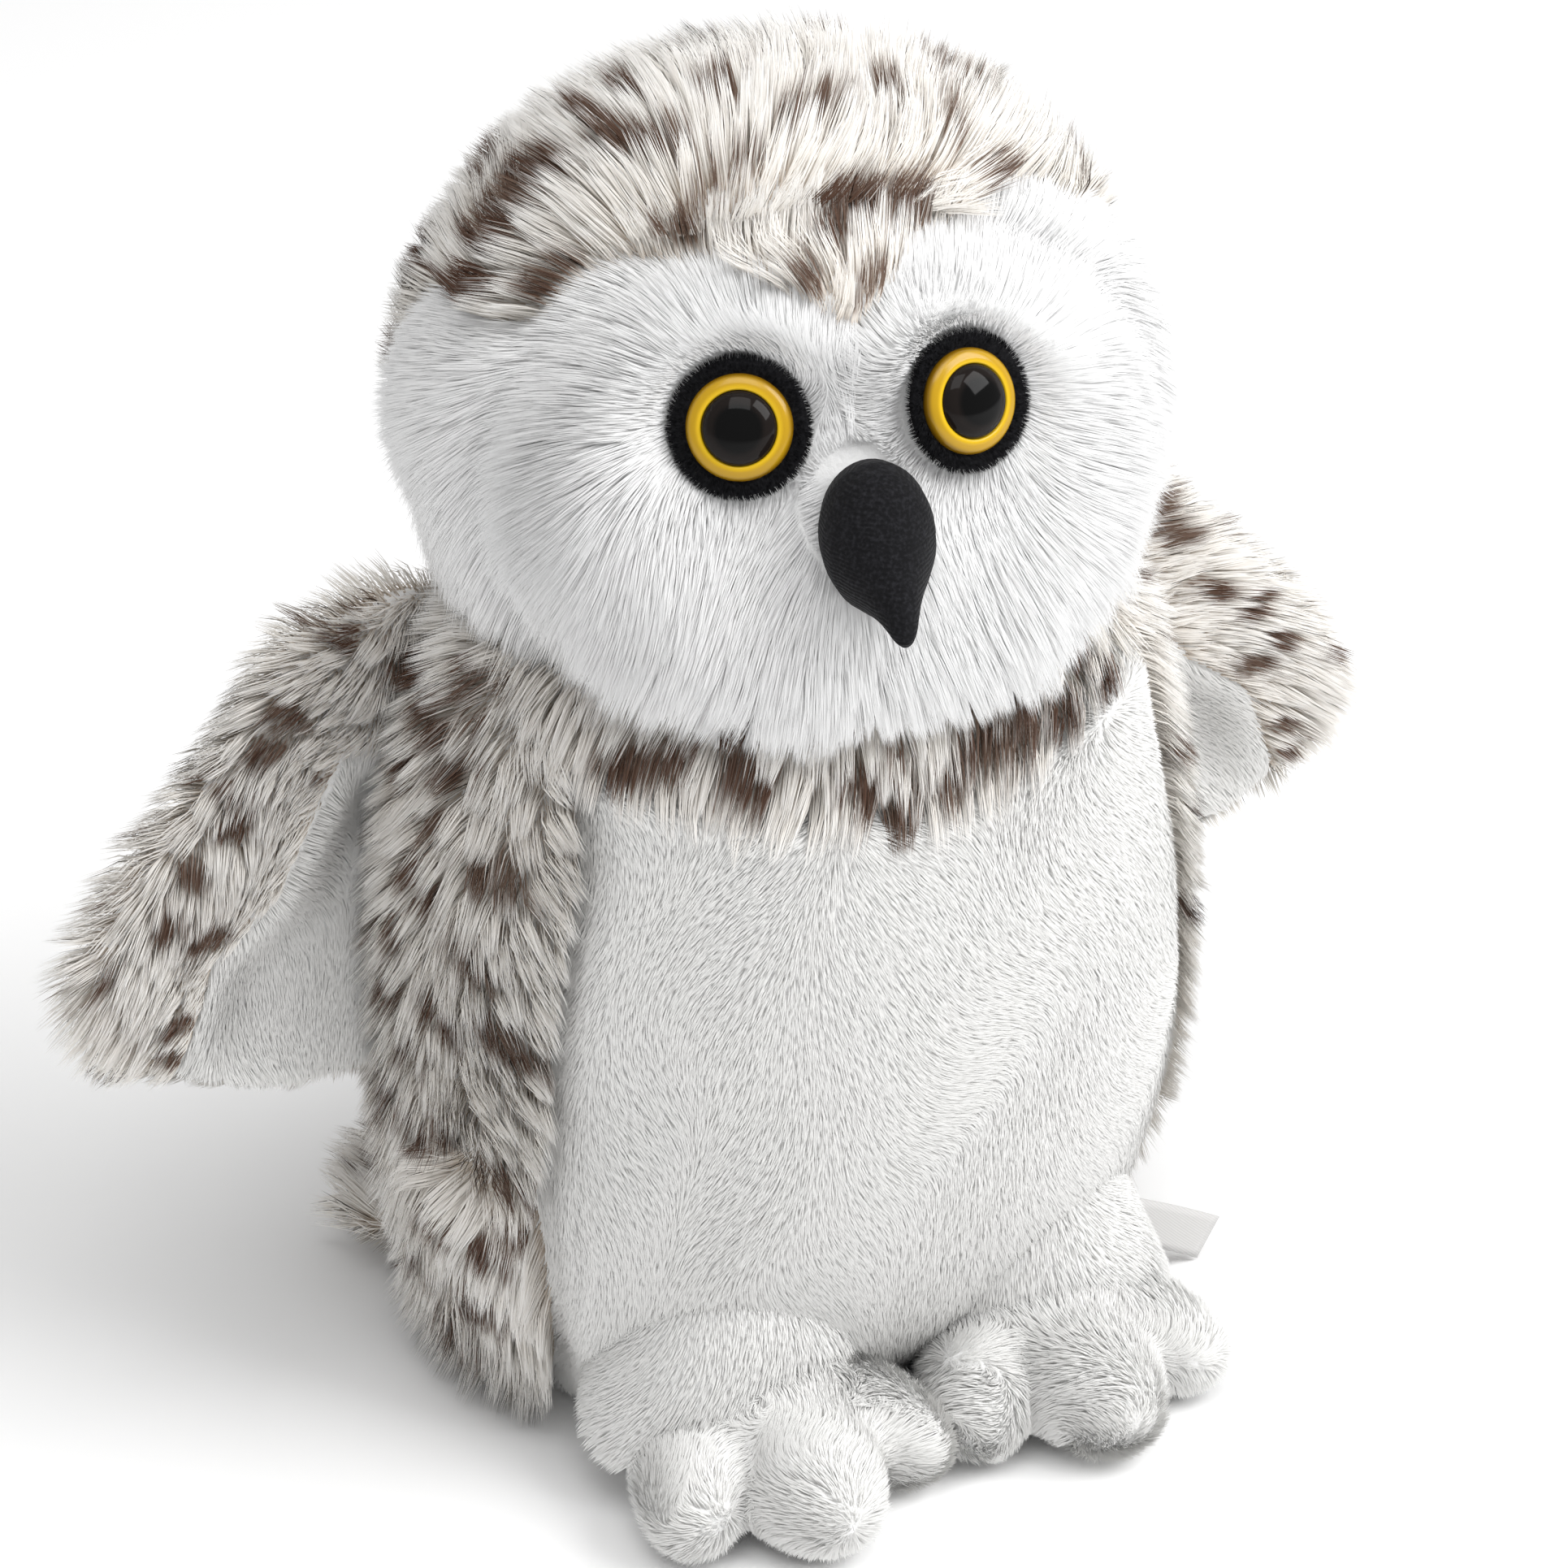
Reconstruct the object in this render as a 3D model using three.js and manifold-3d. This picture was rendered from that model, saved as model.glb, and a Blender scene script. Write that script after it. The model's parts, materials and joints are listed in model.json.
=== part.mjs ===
// A plush snowy owl that sits on a flat base with its wings held out.
// Millimetres. The owl looks towards -Y, +X is its own left side, +Z is up.
import * as THREE from 'three';
import { mergeVertices } from 'three/addons/utils/BufferGeometryUtils.js';
import Module from 'manifold-3d';

const wasm = await Module();
wasm.setup();

// Fabric and seams
const LONG_PILE = 6; // long fur fabric, backing and pressed pile together
const SHORT_PILE = 4; // short plush of feet and wing linings
const FELT = 1.2;
const SEAM_GAP = 0.3; // between two pieces that touch
const MOVING_GAP = 0.5; // between a piece that moves and what it passes

const OWL_HEIGHT = 264.5; // from the floor to the top of the head

// Head, a ball that is rounder below so that it can turn on the neck
const HEAD_WIDTH = 143;
const HEAD_DEPTH = 129;
const HEAD_HEIGHT = 125;
const HEAD_CENTRE = new THREE.Vector3(0, 1, OWL_HEIGHT - HEAD_HEIGHT / 2);
const HEAD_TURN = -13; // degrees, the head looks a little to its right
const NECK_GAP = 1;
const NECK_HOLE = 56; // opening in the head fabric
const NECK_PLUG = 44; // diameter of the firm stuffing in the neck
const NECK_PLUG_LENGTH = 40;
const NECK_PLUG_EDGE = 6; // its rounded rims

// Face seams, seen from the front, from the head's centre
const PEAK_HEIGHT = 35; // tip of the crown fabric between the eyes
const BROW_HEIGHT = 47; // top of the white face
const BROW_WIDTH = 88;
const TEMPLE_HEIGHT = 33; // where the face seam runs back at the sides
const CHEEK_BACK = 14; // how far behind the centre the cheeks end
const DISC_WIDTH = 108;
const DISC_HEIGHT = 84;
const DISC_DROP = -1; // centre of the two face discs below the head's centre

// Eyes
const EYE_SPACING = 39.5;
const EYE_HEIGHT = 16;
const EYE_SOCKET = 13; // how deep the eyes are drawn in
const EYE_SOCKET_REACH = 21;
const EYE_SPLAY = 18; // degrees outwards
const EYE_TILT = 20; // degrees upwards
const EYE_DIAMETER = 18;
const EYE_RIM = 2.2;
const PUPIL_DIAMETER = 12.8;
const PUPIL_DOME = 3.6;
const SHANK_DIAMETER = 5;
const SHANK_LENGTH = 15;
const WASHER_DIAMETER = 15;
const WASHER_THICKNESS = 1.5;
const PATCH_DIAMETER = 22.5;
const PATCH_TOP = 1.5; // front of the felt above the drawn-in fur
const WASHER_SLACK = 1.5; // between the fabric's back and the washer

// Beak
const BEAK_WIDTH = 22;
const BEAK_HEIGHT = 25;
const BEAK_LENGTH = 25.5;
const BEAK_ROOT = 56; // centre of its root in front of the head's centre
const BEAK_HOOK = 12.5; // how far the tip drops
const BEAK_RISE = 1.5; // its root above the head's centre
const BEAK_FULL = 0.35; // where along its length the beak is fullest

// Body
const BODY_WIDTH = 170;
const BODY_DEPTH = 131;
const BODY_CENTRE = OWL_HEIGHT / 3;
const BODY_HEIGHT = 2.16 * BODY_CENTRE; // of the whole form, before base and neck are cut
const BODY_FULLNESS = 0.33; // small is barrel shaped, 1 is a plain ellipsoid
const BASE_SHIFT = 14; // the base lies this far behind the middle
const BASE_PANEL = 4;
const BELLY_TOP_WIDTH = 104;
const BELLY_WIDTH = 129;
const BELLY_FOOT_WIDTH = 106;
const RUFF_BOTTOM = 135; // lower edge of the collar at the middle
const RUFF_RISE = 11; // how much higher that edge is at the sides
const PELLET_BAG_WIDTH = 84;
const PELLET_BAG_DEPTH = 58;
const PELLET_BAG_HEIGHT = 26;

// Wings, each a flat pad that folds on its seam at the body's side
const WING_THICKNESS = 17;
const WING_TIP = new THREE.Vector2(139, 105); // across and up
const WING_TOP = 166; // height of the shoulder
const WING_BOTTOM = 70;
const WING_SEAM = 78; // the seam's distance from the middle
const WING_SEAM_LEAN = -0.12; // sideways for each unit up
const WING_SEAM_BACK = 20; // the seam's distance behind the middle
const WING_SWEEP = 0.17; // backwards for each unit up
const WING_FOLD = [-25, 30]; // degrees, back and forward
const WING_ROOT = 48; // inner edge, inside the body before the body is cut away
const LINING_BAND = 27; // width of spotted fur folded over the front edge

// Tail
const TAIL_WIDTH = 146;
const TAIL_LENGTH = 60; // from its inner edge to its end
const TAIL_END = 94; // end behind the middle
const TAIL_THICKNESS = 15;
const TAIL_HEIGHT = 11; // of its middle plane
const TAIL_HINGE = new THREE.Vector3(0, 46, TAIL_HEIGHT);
const TAIL_LIFT = [-3, 20]; // degrees, down and up

// Feet and legs
const FOOT_SPREAD = 31; // each foot's middle from the centre line
const TOE_SPREAD = 18; // from the middle toe to the toes beside it
const TOE_FRONT = -65; // centre of the middle toe
const SIDE_TOE_BACK = 10; // how far behind it the other two lie
const MIDDLE_TOE_WIDTH = 25.6;
const MIDDLE_TOE_LENGTH = 43;
const MIDDLE_TOE_HEIGHT = 27;
const SIDE_TOE_WIDTH = 20.6;
const SIDE_TOE_LENGTH = 42;
const SIDE_TOE_HEIGHT = 23.5;
const TOE_SPLAY = 26; // degrees that the side toes turn outwards
const INSTEP_WIDTH = 42;
const INSTEP_LENGTH = 38;
const INSTEP_HEIGHT = 32;
const INSTEP_FRONT = -46; // its centre
const SOLE = 3;
const SOLE_CUT = 2; // how far the round toes are pressed flat
const FOOT_HINGE = new THREE.Vector3(0, -38, 11);
const FOOT_LIFT = [0, 20]; // degrees, toes up
const LEG_WIDTH = 54; // of the leg's dome
const LEG_DEPTH = 52;
const LEG_HEIGHT = 58;
const LEG_ACROSS = 32; // its centre
const LEG_FRONT = -38;
const LEG_MIDDLE = 23;
const LEG_HEM = 21; // height of the loose hem above the floor

// Sewn-in label
const LABEL_LENGTH = 20;
const LABEL_WIDTH = 10;
const LABEL_THICKNESS = 0.6;
const LABEL_ROOT = new THREE.Vector3(62.5, -31, 16.6); // middle of its sewn edge
const LABEL_DROOP = 34; // degrees below level
const LABEL_FLAP = [-25, 40]; // degrees, forward and back

const UP = new THREE.Vector3(0, 0, 1);
const FAR = 400; // larger than the toy, for cutting blocks
const SIDES = [['right', -1], ['left', 1]];

// Solids

function joinedUp(geometry) {
  const bare = geometry.clone();
  bare.deleteAttribute('normal');
  bare.deleteAttribute('uv');
  return mergeVertices(bare, 1e-4);
}

function solidOf(geometry) {
  const merged = joinedUp(geometry);
  return new wasm.Manifold(new wasm.Mesh({
    numProp: 3,
    vertProperties: new Float32Array(merged.attributes.position.array),
    triVerts: new Uint32Array(merged.index.array),
  }));
}

function geometryOf(solid) {
  const mesh = solid.getMesh();
  const geometry = new THREE.BufferGeometry();
  geometry.setAttribute('position', new THREE.BufferAttribute(mesh.vertProperties, 3));
  geometry.setIndex(new THREE.BufferAttribute(mesh.triVerts, 1));
  geometry.computeVertexNormals();
  return geometry;
}

function block(low, high) {
  const size = high.clone().sub(low);
  const box = new THREE.BoxGeometry(size.x, size.y, size.z);
  const middle = low.clone().add(high).multiplyScalar(0.5);
  return solidOf(box.translate(middle.x, middle.y, middle.z));
}

const above = (z) => block(new THREE.Vector3(-FAR, -FAR, z), new THREE.Vector3(FAR, FAR, FAR));
const below = (z) => block(new THREE.Vector3(-FAR, -FAR, -FAR), new THREE.Vector3(FAR, FAR, z));
const leftOf = (x) => block(new THREE.Vector3(x, -FAR, -FAR), new THREE.Vector3(FAR, FAR, FAR));
const rightOf = (x) => block(new THREE.Vector3(-FAR, -FAR, -FAR), new THREE.Vector3(x, FAR, FAR));

// An outline in X and Z, run from the front back to y.
function frontPrism(points, y) {
  const shape = new THREE.Shape(points);
  const prism = new THREE.ExtrudeGeometry(shape, { depth: FAR, bevelEnabled: false });
  return solidOf(prism.rotateX(Math.PI / 2).translate(0, y, 0));
}

function cylinder(diameter, from, to, sides = 20) {
  const rod = new THREE.CylinderGeometry(diameter / 2, diameter / 2, to - from, sides);
  return solidOf(rod.rotateX(Math.PI / 2).translate(0, 0, (from + to) / 2));
}

function lathe(points, sides) {
  const outline = points.map(([radius, height]) => new THREE.Vector2(radius, height));
  return solidOf(new THREE.LatheGeometry(outline, sides).rotateX(Math.PI / 2));
}

// Moves each point of a geometry, whose coinciding points are joined first.
function reshaped(geometry, place) {
  const joined = joinedUp(geometry);
  const points = joined.attributes.position;
  const point = new THREE.Vector3();
  for (let i = 0; i < points.count; i += 1) {
    point.fromBufferAttribute(points, i);
    place(point);
    points.setXYZ(i, point.x, point.y, point.z);
  }
  return joined;
}

// A stuffed form: a ball of unit radius whose points are moved to their place.
function stuffed(place, around, down) {
  const ball = new THREE.SphereGeometry(1, around, down).rotateX(Math.PI / 2);
  return solidOf(reshaped(ball, place));
}

// A pad whose rim follows a closed outline in X and Y and whose middle swells along Z.
function pad(outline, thickness, inset, around, down, place = () => {}) {
  const rim = new THREE.Shape().splineThru([...outline, outline[0]]).getSpacedPoints(160);
  const middle = new THREE.Box2().setFromPoints(rim).getCenter(new THREE.Vector2());
  const reach = rim.slice(1).map((point) => {
    const arm = point.clone().sub(middle);
    return { turn: Math.atan2(arm.y, arm.x), length: arm.length() };
  }).sort((a, b) => a.turn - b.turn);
  const reachAt = (turn) => {
    const next = reach.findIndex((entry) => entry.turn >= turn);
    const b = reach[next < 0 ? 0 : next];
    const a = reach[(next <= 0 ? reach.length : next) - 1];
    const span = (b.turn - a.turn + 2 * Math.PI) % (2 * Math.PI);
    const part = ((turn - a.turn + 2 * Math.PI) % (2 * Math.PI)) / span;
    return THREE.MathUtils.lerp(a.length, b.length, part);
  };
  return stuffed((point) => {
    const flat = Math.hypot(point.x, point.y);
    const turn = Math.atan2(point.y, point.x);
    const out = flat * (reachAt(turn) - inset);
    const swell = Math.sign(point.z) * Math.abs(point.z) ** 0.8 * (thickness / 2 - inset);
    point.set(middle.x + out * Math.cos(turn), middle.y + out * Math.sin(turn), swell);
    place(point);
  }, around, down);
}

function turned(solid, hinge, axis, degrees) {
  const angle = THREE.MathUtils.degToRad(degrees);
  const turn = new THREE.Matrix4().makeRotationAxis(axis.clone().normalize(), angle);
  const there = new THREE.Matrix4().makeTranslation(hinge.x, hinge.y, hinge.z);
  const back = new THREE.Matrix4().makeTranslation(-hinge.x, -hinge.y, -hinge.z);
  return solid.transform(there.multiply(turn).multiply(back).elements);
}

// What a fixed solid covers, seen from a piece that turns through its range.
function passedBy(solid, hinge, axis, range) {
  const middle = (range[0] + range[1]) / 2;
  return [range[0], middle, range[1]].reduce(
    (all, angle) => all.add(turned(solid, hinge, axis, -angle)),
    solid,
  );
}

// Forms of the head and the body

function eyePlace(side) {
  return new THREE.Vector3(side * EYE_SPACING / 2, 0, EYE_HEIGHT);
}

function headForm(inset, roundness = 0, around = 32) {
  const half = new THREE.Vector3(HEAD_WIDTH, HEAD_DEPTH, HEAD_HEIGHT).multiplyScalar(0.5).addScalar(-inset);
  return stuffed((point) => {
    const low = THREE.MathUtils.clamp(-1.25 * point.z, roundness, 1);
    const deep = THREE.MathUtils.lerp(half.y, half.x - 1.5, low);
    const front = point.y < 0 && roundness === 0;
    point.set(point.x * half.x, point.y * deep, point.z * half.z);
    if (front) {
      for (const side of [-1, 1]) {
        const eye = eyePlace(side);
        const away = Math.hypot(point.x - eye.x, point.z - eye.z) / EYE_SOCKET_REACH;
        point.y += EYE_SOCKET * Math.exp(-away * away);
      }
    }
  }, around, around / 2);
}

function bodyLean(height) {
  const low = Math.max(0, 1 - height / BODY_CENTRE);
  return BASE_SHIFT * low * low;
}

function bodyForm(inset, around = 32) {
  const half = new THREE.Vector3(BODY_WIDTH, BODY_DEPTH, BODY_HEIGHT).multiplyScalar(0.5).addScalar(-inset);
  const form = stuffed((point) => {
    const flat = Math.hypot(point.x, point.y) || 1;
    const full = flat ** BODY_FULLNESS / flat * (1 - 0.04 * point.z);
    const height = BODY_CENTRE + point.z * half.z;
    point.set(point.x * full * half.x, point.y * full * half.y + bodyLean(height), height);
  }, around, around / 2);
  return form.intersect(above(0));
}

// A plainer body, a little larger, that clears the way for what moves beside it.
const bodyRoom = bodyForm(-MOVING_GAP - 1, 20);
const bodyInside = (inset) => bodyForm(inset, 24);

const neckBowl = headForm(-NECK_GAP, 1, 28).translate(...HEAD_CENTRE.toArray());

// Head pieces, in the head's own frame

function faceOutline(gap) {
  const half = BROW_WIDTH / 2;
  const side = [
    [half * 0.32, PEAK_HEIGHT + 0.66 * (BROW_HEIGHT - PEAK_HEIGHT)],
    [half * 0.62, BROW_HEIGHT],
    [half * 0.85, BROW_HEIGHT - 0.5],
    [half, BROW_HEIGHT - 4],
    [half + 8, THREE.MathUtils.lerp(TEMPLE_HEIGHT, BROW_HEIGHT, 0.25)],
    [half + 18, TEMPLE_HEIGHT],
    [FAR / 2, TEMPLE_HEIGHT],
    [FAR / 2, -FAR / 2],
  ];
  const left = side.map(([x, z]) => new THREE.Vector2(x, z + gap));
  const right = side.map(([x, z]) => new THREE.Vector2(-x, z + gap)).reverse();
  return [new THREE.Vector2(0, PEAK_HEIGHT + gap), ...left, ...right];
}

function discOutline(gap) {
  const points = [];
  const steps = 28;
  for (let i = 0; i < steps; i += 1) {
    const turn = i / steps * 2 * Math.PI;
    const c = Math.cos(turn);
    const s = Math.sin(turn);
    const x = (DISC_WIDTH / 2 + gap) * Math.sign(c) * Math.abs(c) ** 0.85;
    const z = (DISC_HEIGHT / 2 + gap) * Math.sign(s) * Math.abs(s) ** 0.85 + DISC_DROP;
    points.push(new THREE.Vector2(x, z));
  }
  return points;
}

// Puts a solid that looks along +Z on one eye's axis.
function atEye(solid, side) {
  const look = new THREE.Vector3(0, -1, 0)
    .applyAxisAngle(new THREE.Vector3(1, 0, 0), -THREE.MathUtils.degToRad(EYE_TILT))
    .applyAxisAngle(UP, side * THREE.MathUtils.degToRad(EYE_SPLAY));
  const swing = new THREE.Quaternion().setFromUnitVectors(UP, look);
  const spin = new THREE.Matrix4().makeRotationFromQuaternion(swing);
  const eye = eyePlace(side);
  const ratio = (eye.x / (HEAD_WIDTH / 2)) ** 2 + (eye.z / (HEAD_HEIGHT / 2)) ** 2;
  eye.y = -HEAD_DEPTH / 2 * Math.sqrt(1 - ratio) + EYE_SOCKET;
  return solid.transform(new THREE.Matrix4().setPosition(eye).multiply(spin).elements);
}

function eyeIris() {
  const seat = PATCH_TOP + SEAM_GAP;
  const outer = EYE_DIAMETER / 2;
  const pupil = PUPIL_DIAMETER / 2 + SEAM_GAP;
  const shank = SHANK_DIAMETER / 2;
  return lathe([
    [0, seat - SHANK_LENGTH], [shank - 0.6, seat - SHANK_LENGTH], [shank, seat - SHANK_LENGTH + 1],
    [shank, seat], [outer, seat], [outer, seat + 1], [outer - 0.7, seat + EYE_RIM - 0.2],
    [pupil + 1.1, seat + EYE_RIM], [pupil, seat + EYE_RIM - 0.4], [pupil, seat + 0.8], [0, seat + 0.8],
  ], 20);
}

function eyePupil() {
  const seat = PATCH_TOP + SEAM_GAP + 0.8 + SEAM_GAP;
  const radius = PUPIL_DIAMETER / 2;
  const dome = [];
  const steps = 4;
  for (let i = 0; i < steps; i += 1) {
    const turn = i / steps * Math.PI / 2;
    dome.push([radius * Math.cos(turn), seat + 1 + PUPIL_DOME * Math.sin(turn)]);
  }
  return lathe([[0, seat], [radius, seat], ...dome, [0, seat + 1 + PUPIL_DOME]], 20);
}

function eyeWasher() {
  const front = -LONG_PILE - SEAM_GAP - WASHER_SLACK;
  const plate = cylinder(WASHER_DIAMETER, front - WASHER_THICKNESS, front);
  return plate.subtract(cylinder(SHANK_DIAMETER + 2 * SEAM_GAP, -FAR, FAR));
}

function eyePatch() {
  const shank = cylinder(SHANK_DIAMETER + 2 * SEAM_GAP, -FAR, FAR);
  return cylinder(PATCH_DIAMETER, PATCH_TOP - FELT, PATCH_TOP, 24).subtract(shank);
}

function eyePocket() {
  const well = cylinder(PATCH_DIAMETER + 2 * SEAM_GAP, PATCH_TOP - FELT - SEAM_GAP, FAR, 24);
  return well.add(cylinder(SHANK_DIAMETER + 2 * SEAM_GAP, -SHANK_LENGTH - 1, FAR));
}

function washerPocket() {
  const front = -LONG_PILE - SEAM_GAP - WASHER_SLACK;
  const reach = WASHER_THICKNESS + SEAM_GAP;
  return cylinder(WASHER_DIAMETER + 2 * SEAM_GAP, front - reach, FAR)
    .add(cylinder(SHANK_DIAMETER + 2 * SEAM_GAP, -SHANK_LENGTH - 1, FAR));
}

// How wide the beak is along its length, as a part of its full width.
function beakSwell(along) {
  if (along < BEAK_FULL) return 1 - 0.14 * (1 - along / BEAK_FULL) ** 2;
  return (1 - ((along - BEAK_FULL) / (1 - BEAK_FULL)) ** 1.7) ** 0.8;
}

function beakForm(inset) {
  const profile = [new THREE.Vector2(0, 0)];
  const steps = 8;
  for (let i = 0; i <= steps; i += 1) {
    const along = i / steps;
    profile.push(new THREE.Vector2((BEAK_WIDTH / 2 - inset) * beakSwell(along), along));
  }
  const tall = (BEAK_HEIGHT / 2 - inset) / (BEAK_WIDTH / 2 - inset);
  return solidOf(reshaped(new THREE.LatheGeometry(profile, 16), (point) => {
    const along = point.y;
    const reach = along * (BEAK_LENGTH - 2 * inset);
    point.set(-point.x, -BEAK_ROOT - reach, BEAK_RISE + point.z * tall - BEAK_HOOK * along * along);
  }));
}

function headPieces() {
  const outer = headForm(0);
  const inner = headForm(LONG_PILE, 0, 26);
  const neckHole = cylinder(NECK_HOLE, -FAR, -HEAD_HEIGHT / 4, 32);
  const shell = outer.subtract(inner).subtract(neckHole);
  const face = frontPrism(faceOutline(0), CHEEK_BACK);
  const faceAndSeam = frontPrism(faceOutline(SEAM_GAP), CHEEK_BACK + SEAM_GAP);
  const disc = frontPrism(discOutline(0), 0);
  const discAndSeam = frontPrism(discOutline(SEAM_GAP), SEAM_GAP);
  const discs = shell.intersect(face).intersect(disc);
  const cheeks = shell.intersect(face).subtract(discAndSeam);
  const plug = neckPlug(SEAM_GAP).translate(...HEAD_CENTRE.clone().negate().toArray());
  const skin = headForm(-SEAM_GAP);
  const beak = beakForm(0).subtract(skin);
  const beakHollow = beakForm(FELT);
  const pieces = { crown_panel: shell.subtract(faceAndSeam) };
  let stuffing = headForm(LONG_PILE + SEAM_GAP, 0, 26).subtract(plug);
  for (const [name, side] of SIDES) {
    const half = side < 0 ? rightOf(-SEAM_GAP / 2) : leftOf(SEAM_GAP / 2);
    const pocket = atEye(eyePocket(), side);
    pieces[`face_disc_${name}`] = discs.intersect(half).subtract(pocket);
    pieces[`cheek_panel_${name}`] = cheeks.intersect(half);
    pieces[`eye_patch_${name}`] = atEye(eyePatch(), side);
    pieces[`eye_iris_${name}`] = atEye(eyeIris(), side);
    pieces[`eye_pupil_${name}`] = atEye(eyePupil(), side);
    pieces[`eye_washer_${name}`] = atEye(eyeWasher(), side);
    stuffing = stuffing.subtract(atEye(washerPocket(), side));
  }
  pieces.head_stuffing = stuffing;
  pieces.beak_felt = beak.subtract(beakHollow);
  pieces.beak_stuffing = beakForm(FELT + SEAM_GAP).subtract(skin);
  return pieces;
}

// Body pieces

function neckPlug(gap) {
  const radius = NECK_PLUG / 2 + gap;
  const half = NECK_PLUG_LENGTH / 2 + gap;
  const middle = HEAD_CENTRE.z - HEAD_HEIGHT / 2 + 4;
  const edge = NECK_PLUG_EDGE;
  const plug = lathe([
    [0, -half], [radius - edge, -half], [radius, -half + edge],
    [radius, half - edge], [radius - edge, half], [0, half],
  ], 20);
  return plug.translate(HEAD_CENTRE.x, HEAD_CENTRE.y, middle);
}

function bellyOutline(gap) {
  const side = [
    [BELLY_FOOT_WIDTH / 2, BASE_PANEL],
    [BELLY_FOOT_WIDTH / 4 + BELLY_WIDTH / 4, 28],
    [BELLY_WIDTH / 2, 64],
    [BELLY_WIDTH / 2 - 3, 105],
    [BELLY_TOP_WIDTH / 2 + 3, 140],
    [BELLY_TOP_WIDTH / 2, FAR / 2],
  ];
  const left = side.map(([x, z]) => new THREE.Vector2(x + gap, z));
  const right = side.map(([x, z]) => new THREE.Vector2(-x - gap, z)).reverse();
  return [...left, ...right];
}

function ruffOutline(gap) {
  const points = [];
  for (let i = -4; i <= 4; i += 1) {
    const across = i / 4;
    points.push(new THREE.Vector2(across * BELLY_WIDTH / 2, RUFF_BOTTOM + RUFF_RISE * across * across - gap));
  }
  points.push(new THREE.Vector2(BELLY_WIDTH / 2, FAR / 2), new THREE.Vector2(-BELLY_WIDTH / 2, FAR / 2));
  return points;
}

function pelletBag(gap) {
  const half = new THREE.Vector3(PELLET_BAG_WIDTH, PELLET_BAG_DEPTH, PELLET_BAG_HEIGHT).multiplyScalar(0.5);
  const floor = BASE_PANEL + SEAM_GAP;
  const bag = stuffed((point) => {
    const height = floor + half.z * 0.9 + point.z * (half.z + gap);
    point.set(point.x * (half.x + gap), point.y * (half.y + gap) + bodyLean(0), height);
  }, 20, 8);
  return bag.intersect(above(floor - gap));
}

function bodyPieces() {
  const outer = bodyForm(0).subtract(neckBowl);
  const walls = outer.subtract(bodyInside(LONG_PILE)).intersect(above(BASE_PANEL + SEAM_GAP));
  const front = frontPrism(bellyOutline(0), 0);
  const frontAndSeam = frontPrism(bellyOutline(SEAM_GAP), SEAM_GAP);
  const collar = frontPrism(ruffOutline(0), 0);
  const collarAndSeam = frontPrism(ruffOutline(SEAM_GAP), 0);
  const back = walls.subtract(frontAndSeam);
  return {
    belly_panel: walls.intersect(front).subtract(collarAndSeam),
    neck_ruff: walls.intersect(front).intersect(collar),
    back_panel_right: back.intersect(rightOf(-SEAM_GAP / 2)),
    back_panel_left: back.intersect(leftOf(SEAM_GAP / 2)),
    base_panel: bodyForm(0).intersect(below(BASE_PANEL)),
    body_stuffing: bodyInside(LONG_PILE + SEAM_GAP).intersect(above(BASE_PANEL + SEAM_GAP))
      .subtract(neckBowl).subtract(pelletBag(SEAM_GAP)).subtract(neckPlug(SEAM_GAP)),
    pellet_bag: pelletBag(0),
    neck_stuffing: neckPlug(0),
  };
}

// Wing pieces, drawn for the left side in X and Z and swept back

function wingOutline() {
  const tip = WING_TIP;
  const seam = WING_ROOT;
  return [
    [seam, WING_TOP - 6], [WING_SEAM + 4, WING_TOP], [tip.x - 40, WING_TOP - 14],
    [tip.x - 17, tip.y + 26], [tip.x, tip.y + 2], [tip.x + 1, tip.y - 9],
    [tip.x - 11, tip.y - 23], [tip.x - 34, WING_BOTTOM + 1], [WING_SEAM + 4, WING_BOTTOM],
    [seam, WING_BOTTOM + 4],
  ].map(([x, z]) => new THREE.Vector2(x, z));
}

// The lining's seam runs beside the wing's front edge, a band's width inside it.
function liningOutline(gap) {
  const tip = WING_TIP;
  const band = LINING_BAND;
  return [
    [0, WING_BOTTOM - band], [tip.x - band / 2, WING_BOTTOM - band], [tip.x - band * 0.6, tip.y - band],
    [tip.x - band, tip.y + 1], [tip.x - 17 - band * 0.9, tip.y + 27 - band * 0.6],
    [WING_SEAM + 4, WING_TOP - band], [0, WING_TOP - band],
  ].map(([x, z]) => new THREE.Vector2(x + gap, z + gap));
}

function wingHinge(side) {
  const middle = (WING_TOP + WING_BOTTOM) / 2;
  return {
    point: new THREE.Vector3(side * WING_SEAM, WING_SEAM_BACK, middle),
    axis: new THREE.Vector3(side * WING_SEAM_LEAN, WING_SWEEP, 1).multiplyScalar(-side),
  };
}

// Carries a point of an upright plane to the swept plane of the wing.
function sweepBack(point) {
  const middle = (WING_TOP + WING_BOTTOM) / 2;
  point.y += WING_SEAM_BACK + WING_SWEEP * (point.z - middle);
}

function wingForm(inset) {
  return pad(wingOutline(), WING_THICKNESS, inset, 24, 8, (point) => {
    point.set(point.x, -point.z, point.y);
    sweepBack(point);
  });
}

// The room in front of the wing's middle plane and inside the lining's seam.
function liningRoom(gap) {
  const prism = new THREE.ExtrudeGeometry(
    new THREE.Shape(liningOutline(gap)),
    { depth: FAR, bevelEnabled: false },
  );
  return solidOf(reshaped(prism.rotateX(Math.PI / 2).translate(0, gap, 0), sweepBack));
}

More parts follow.
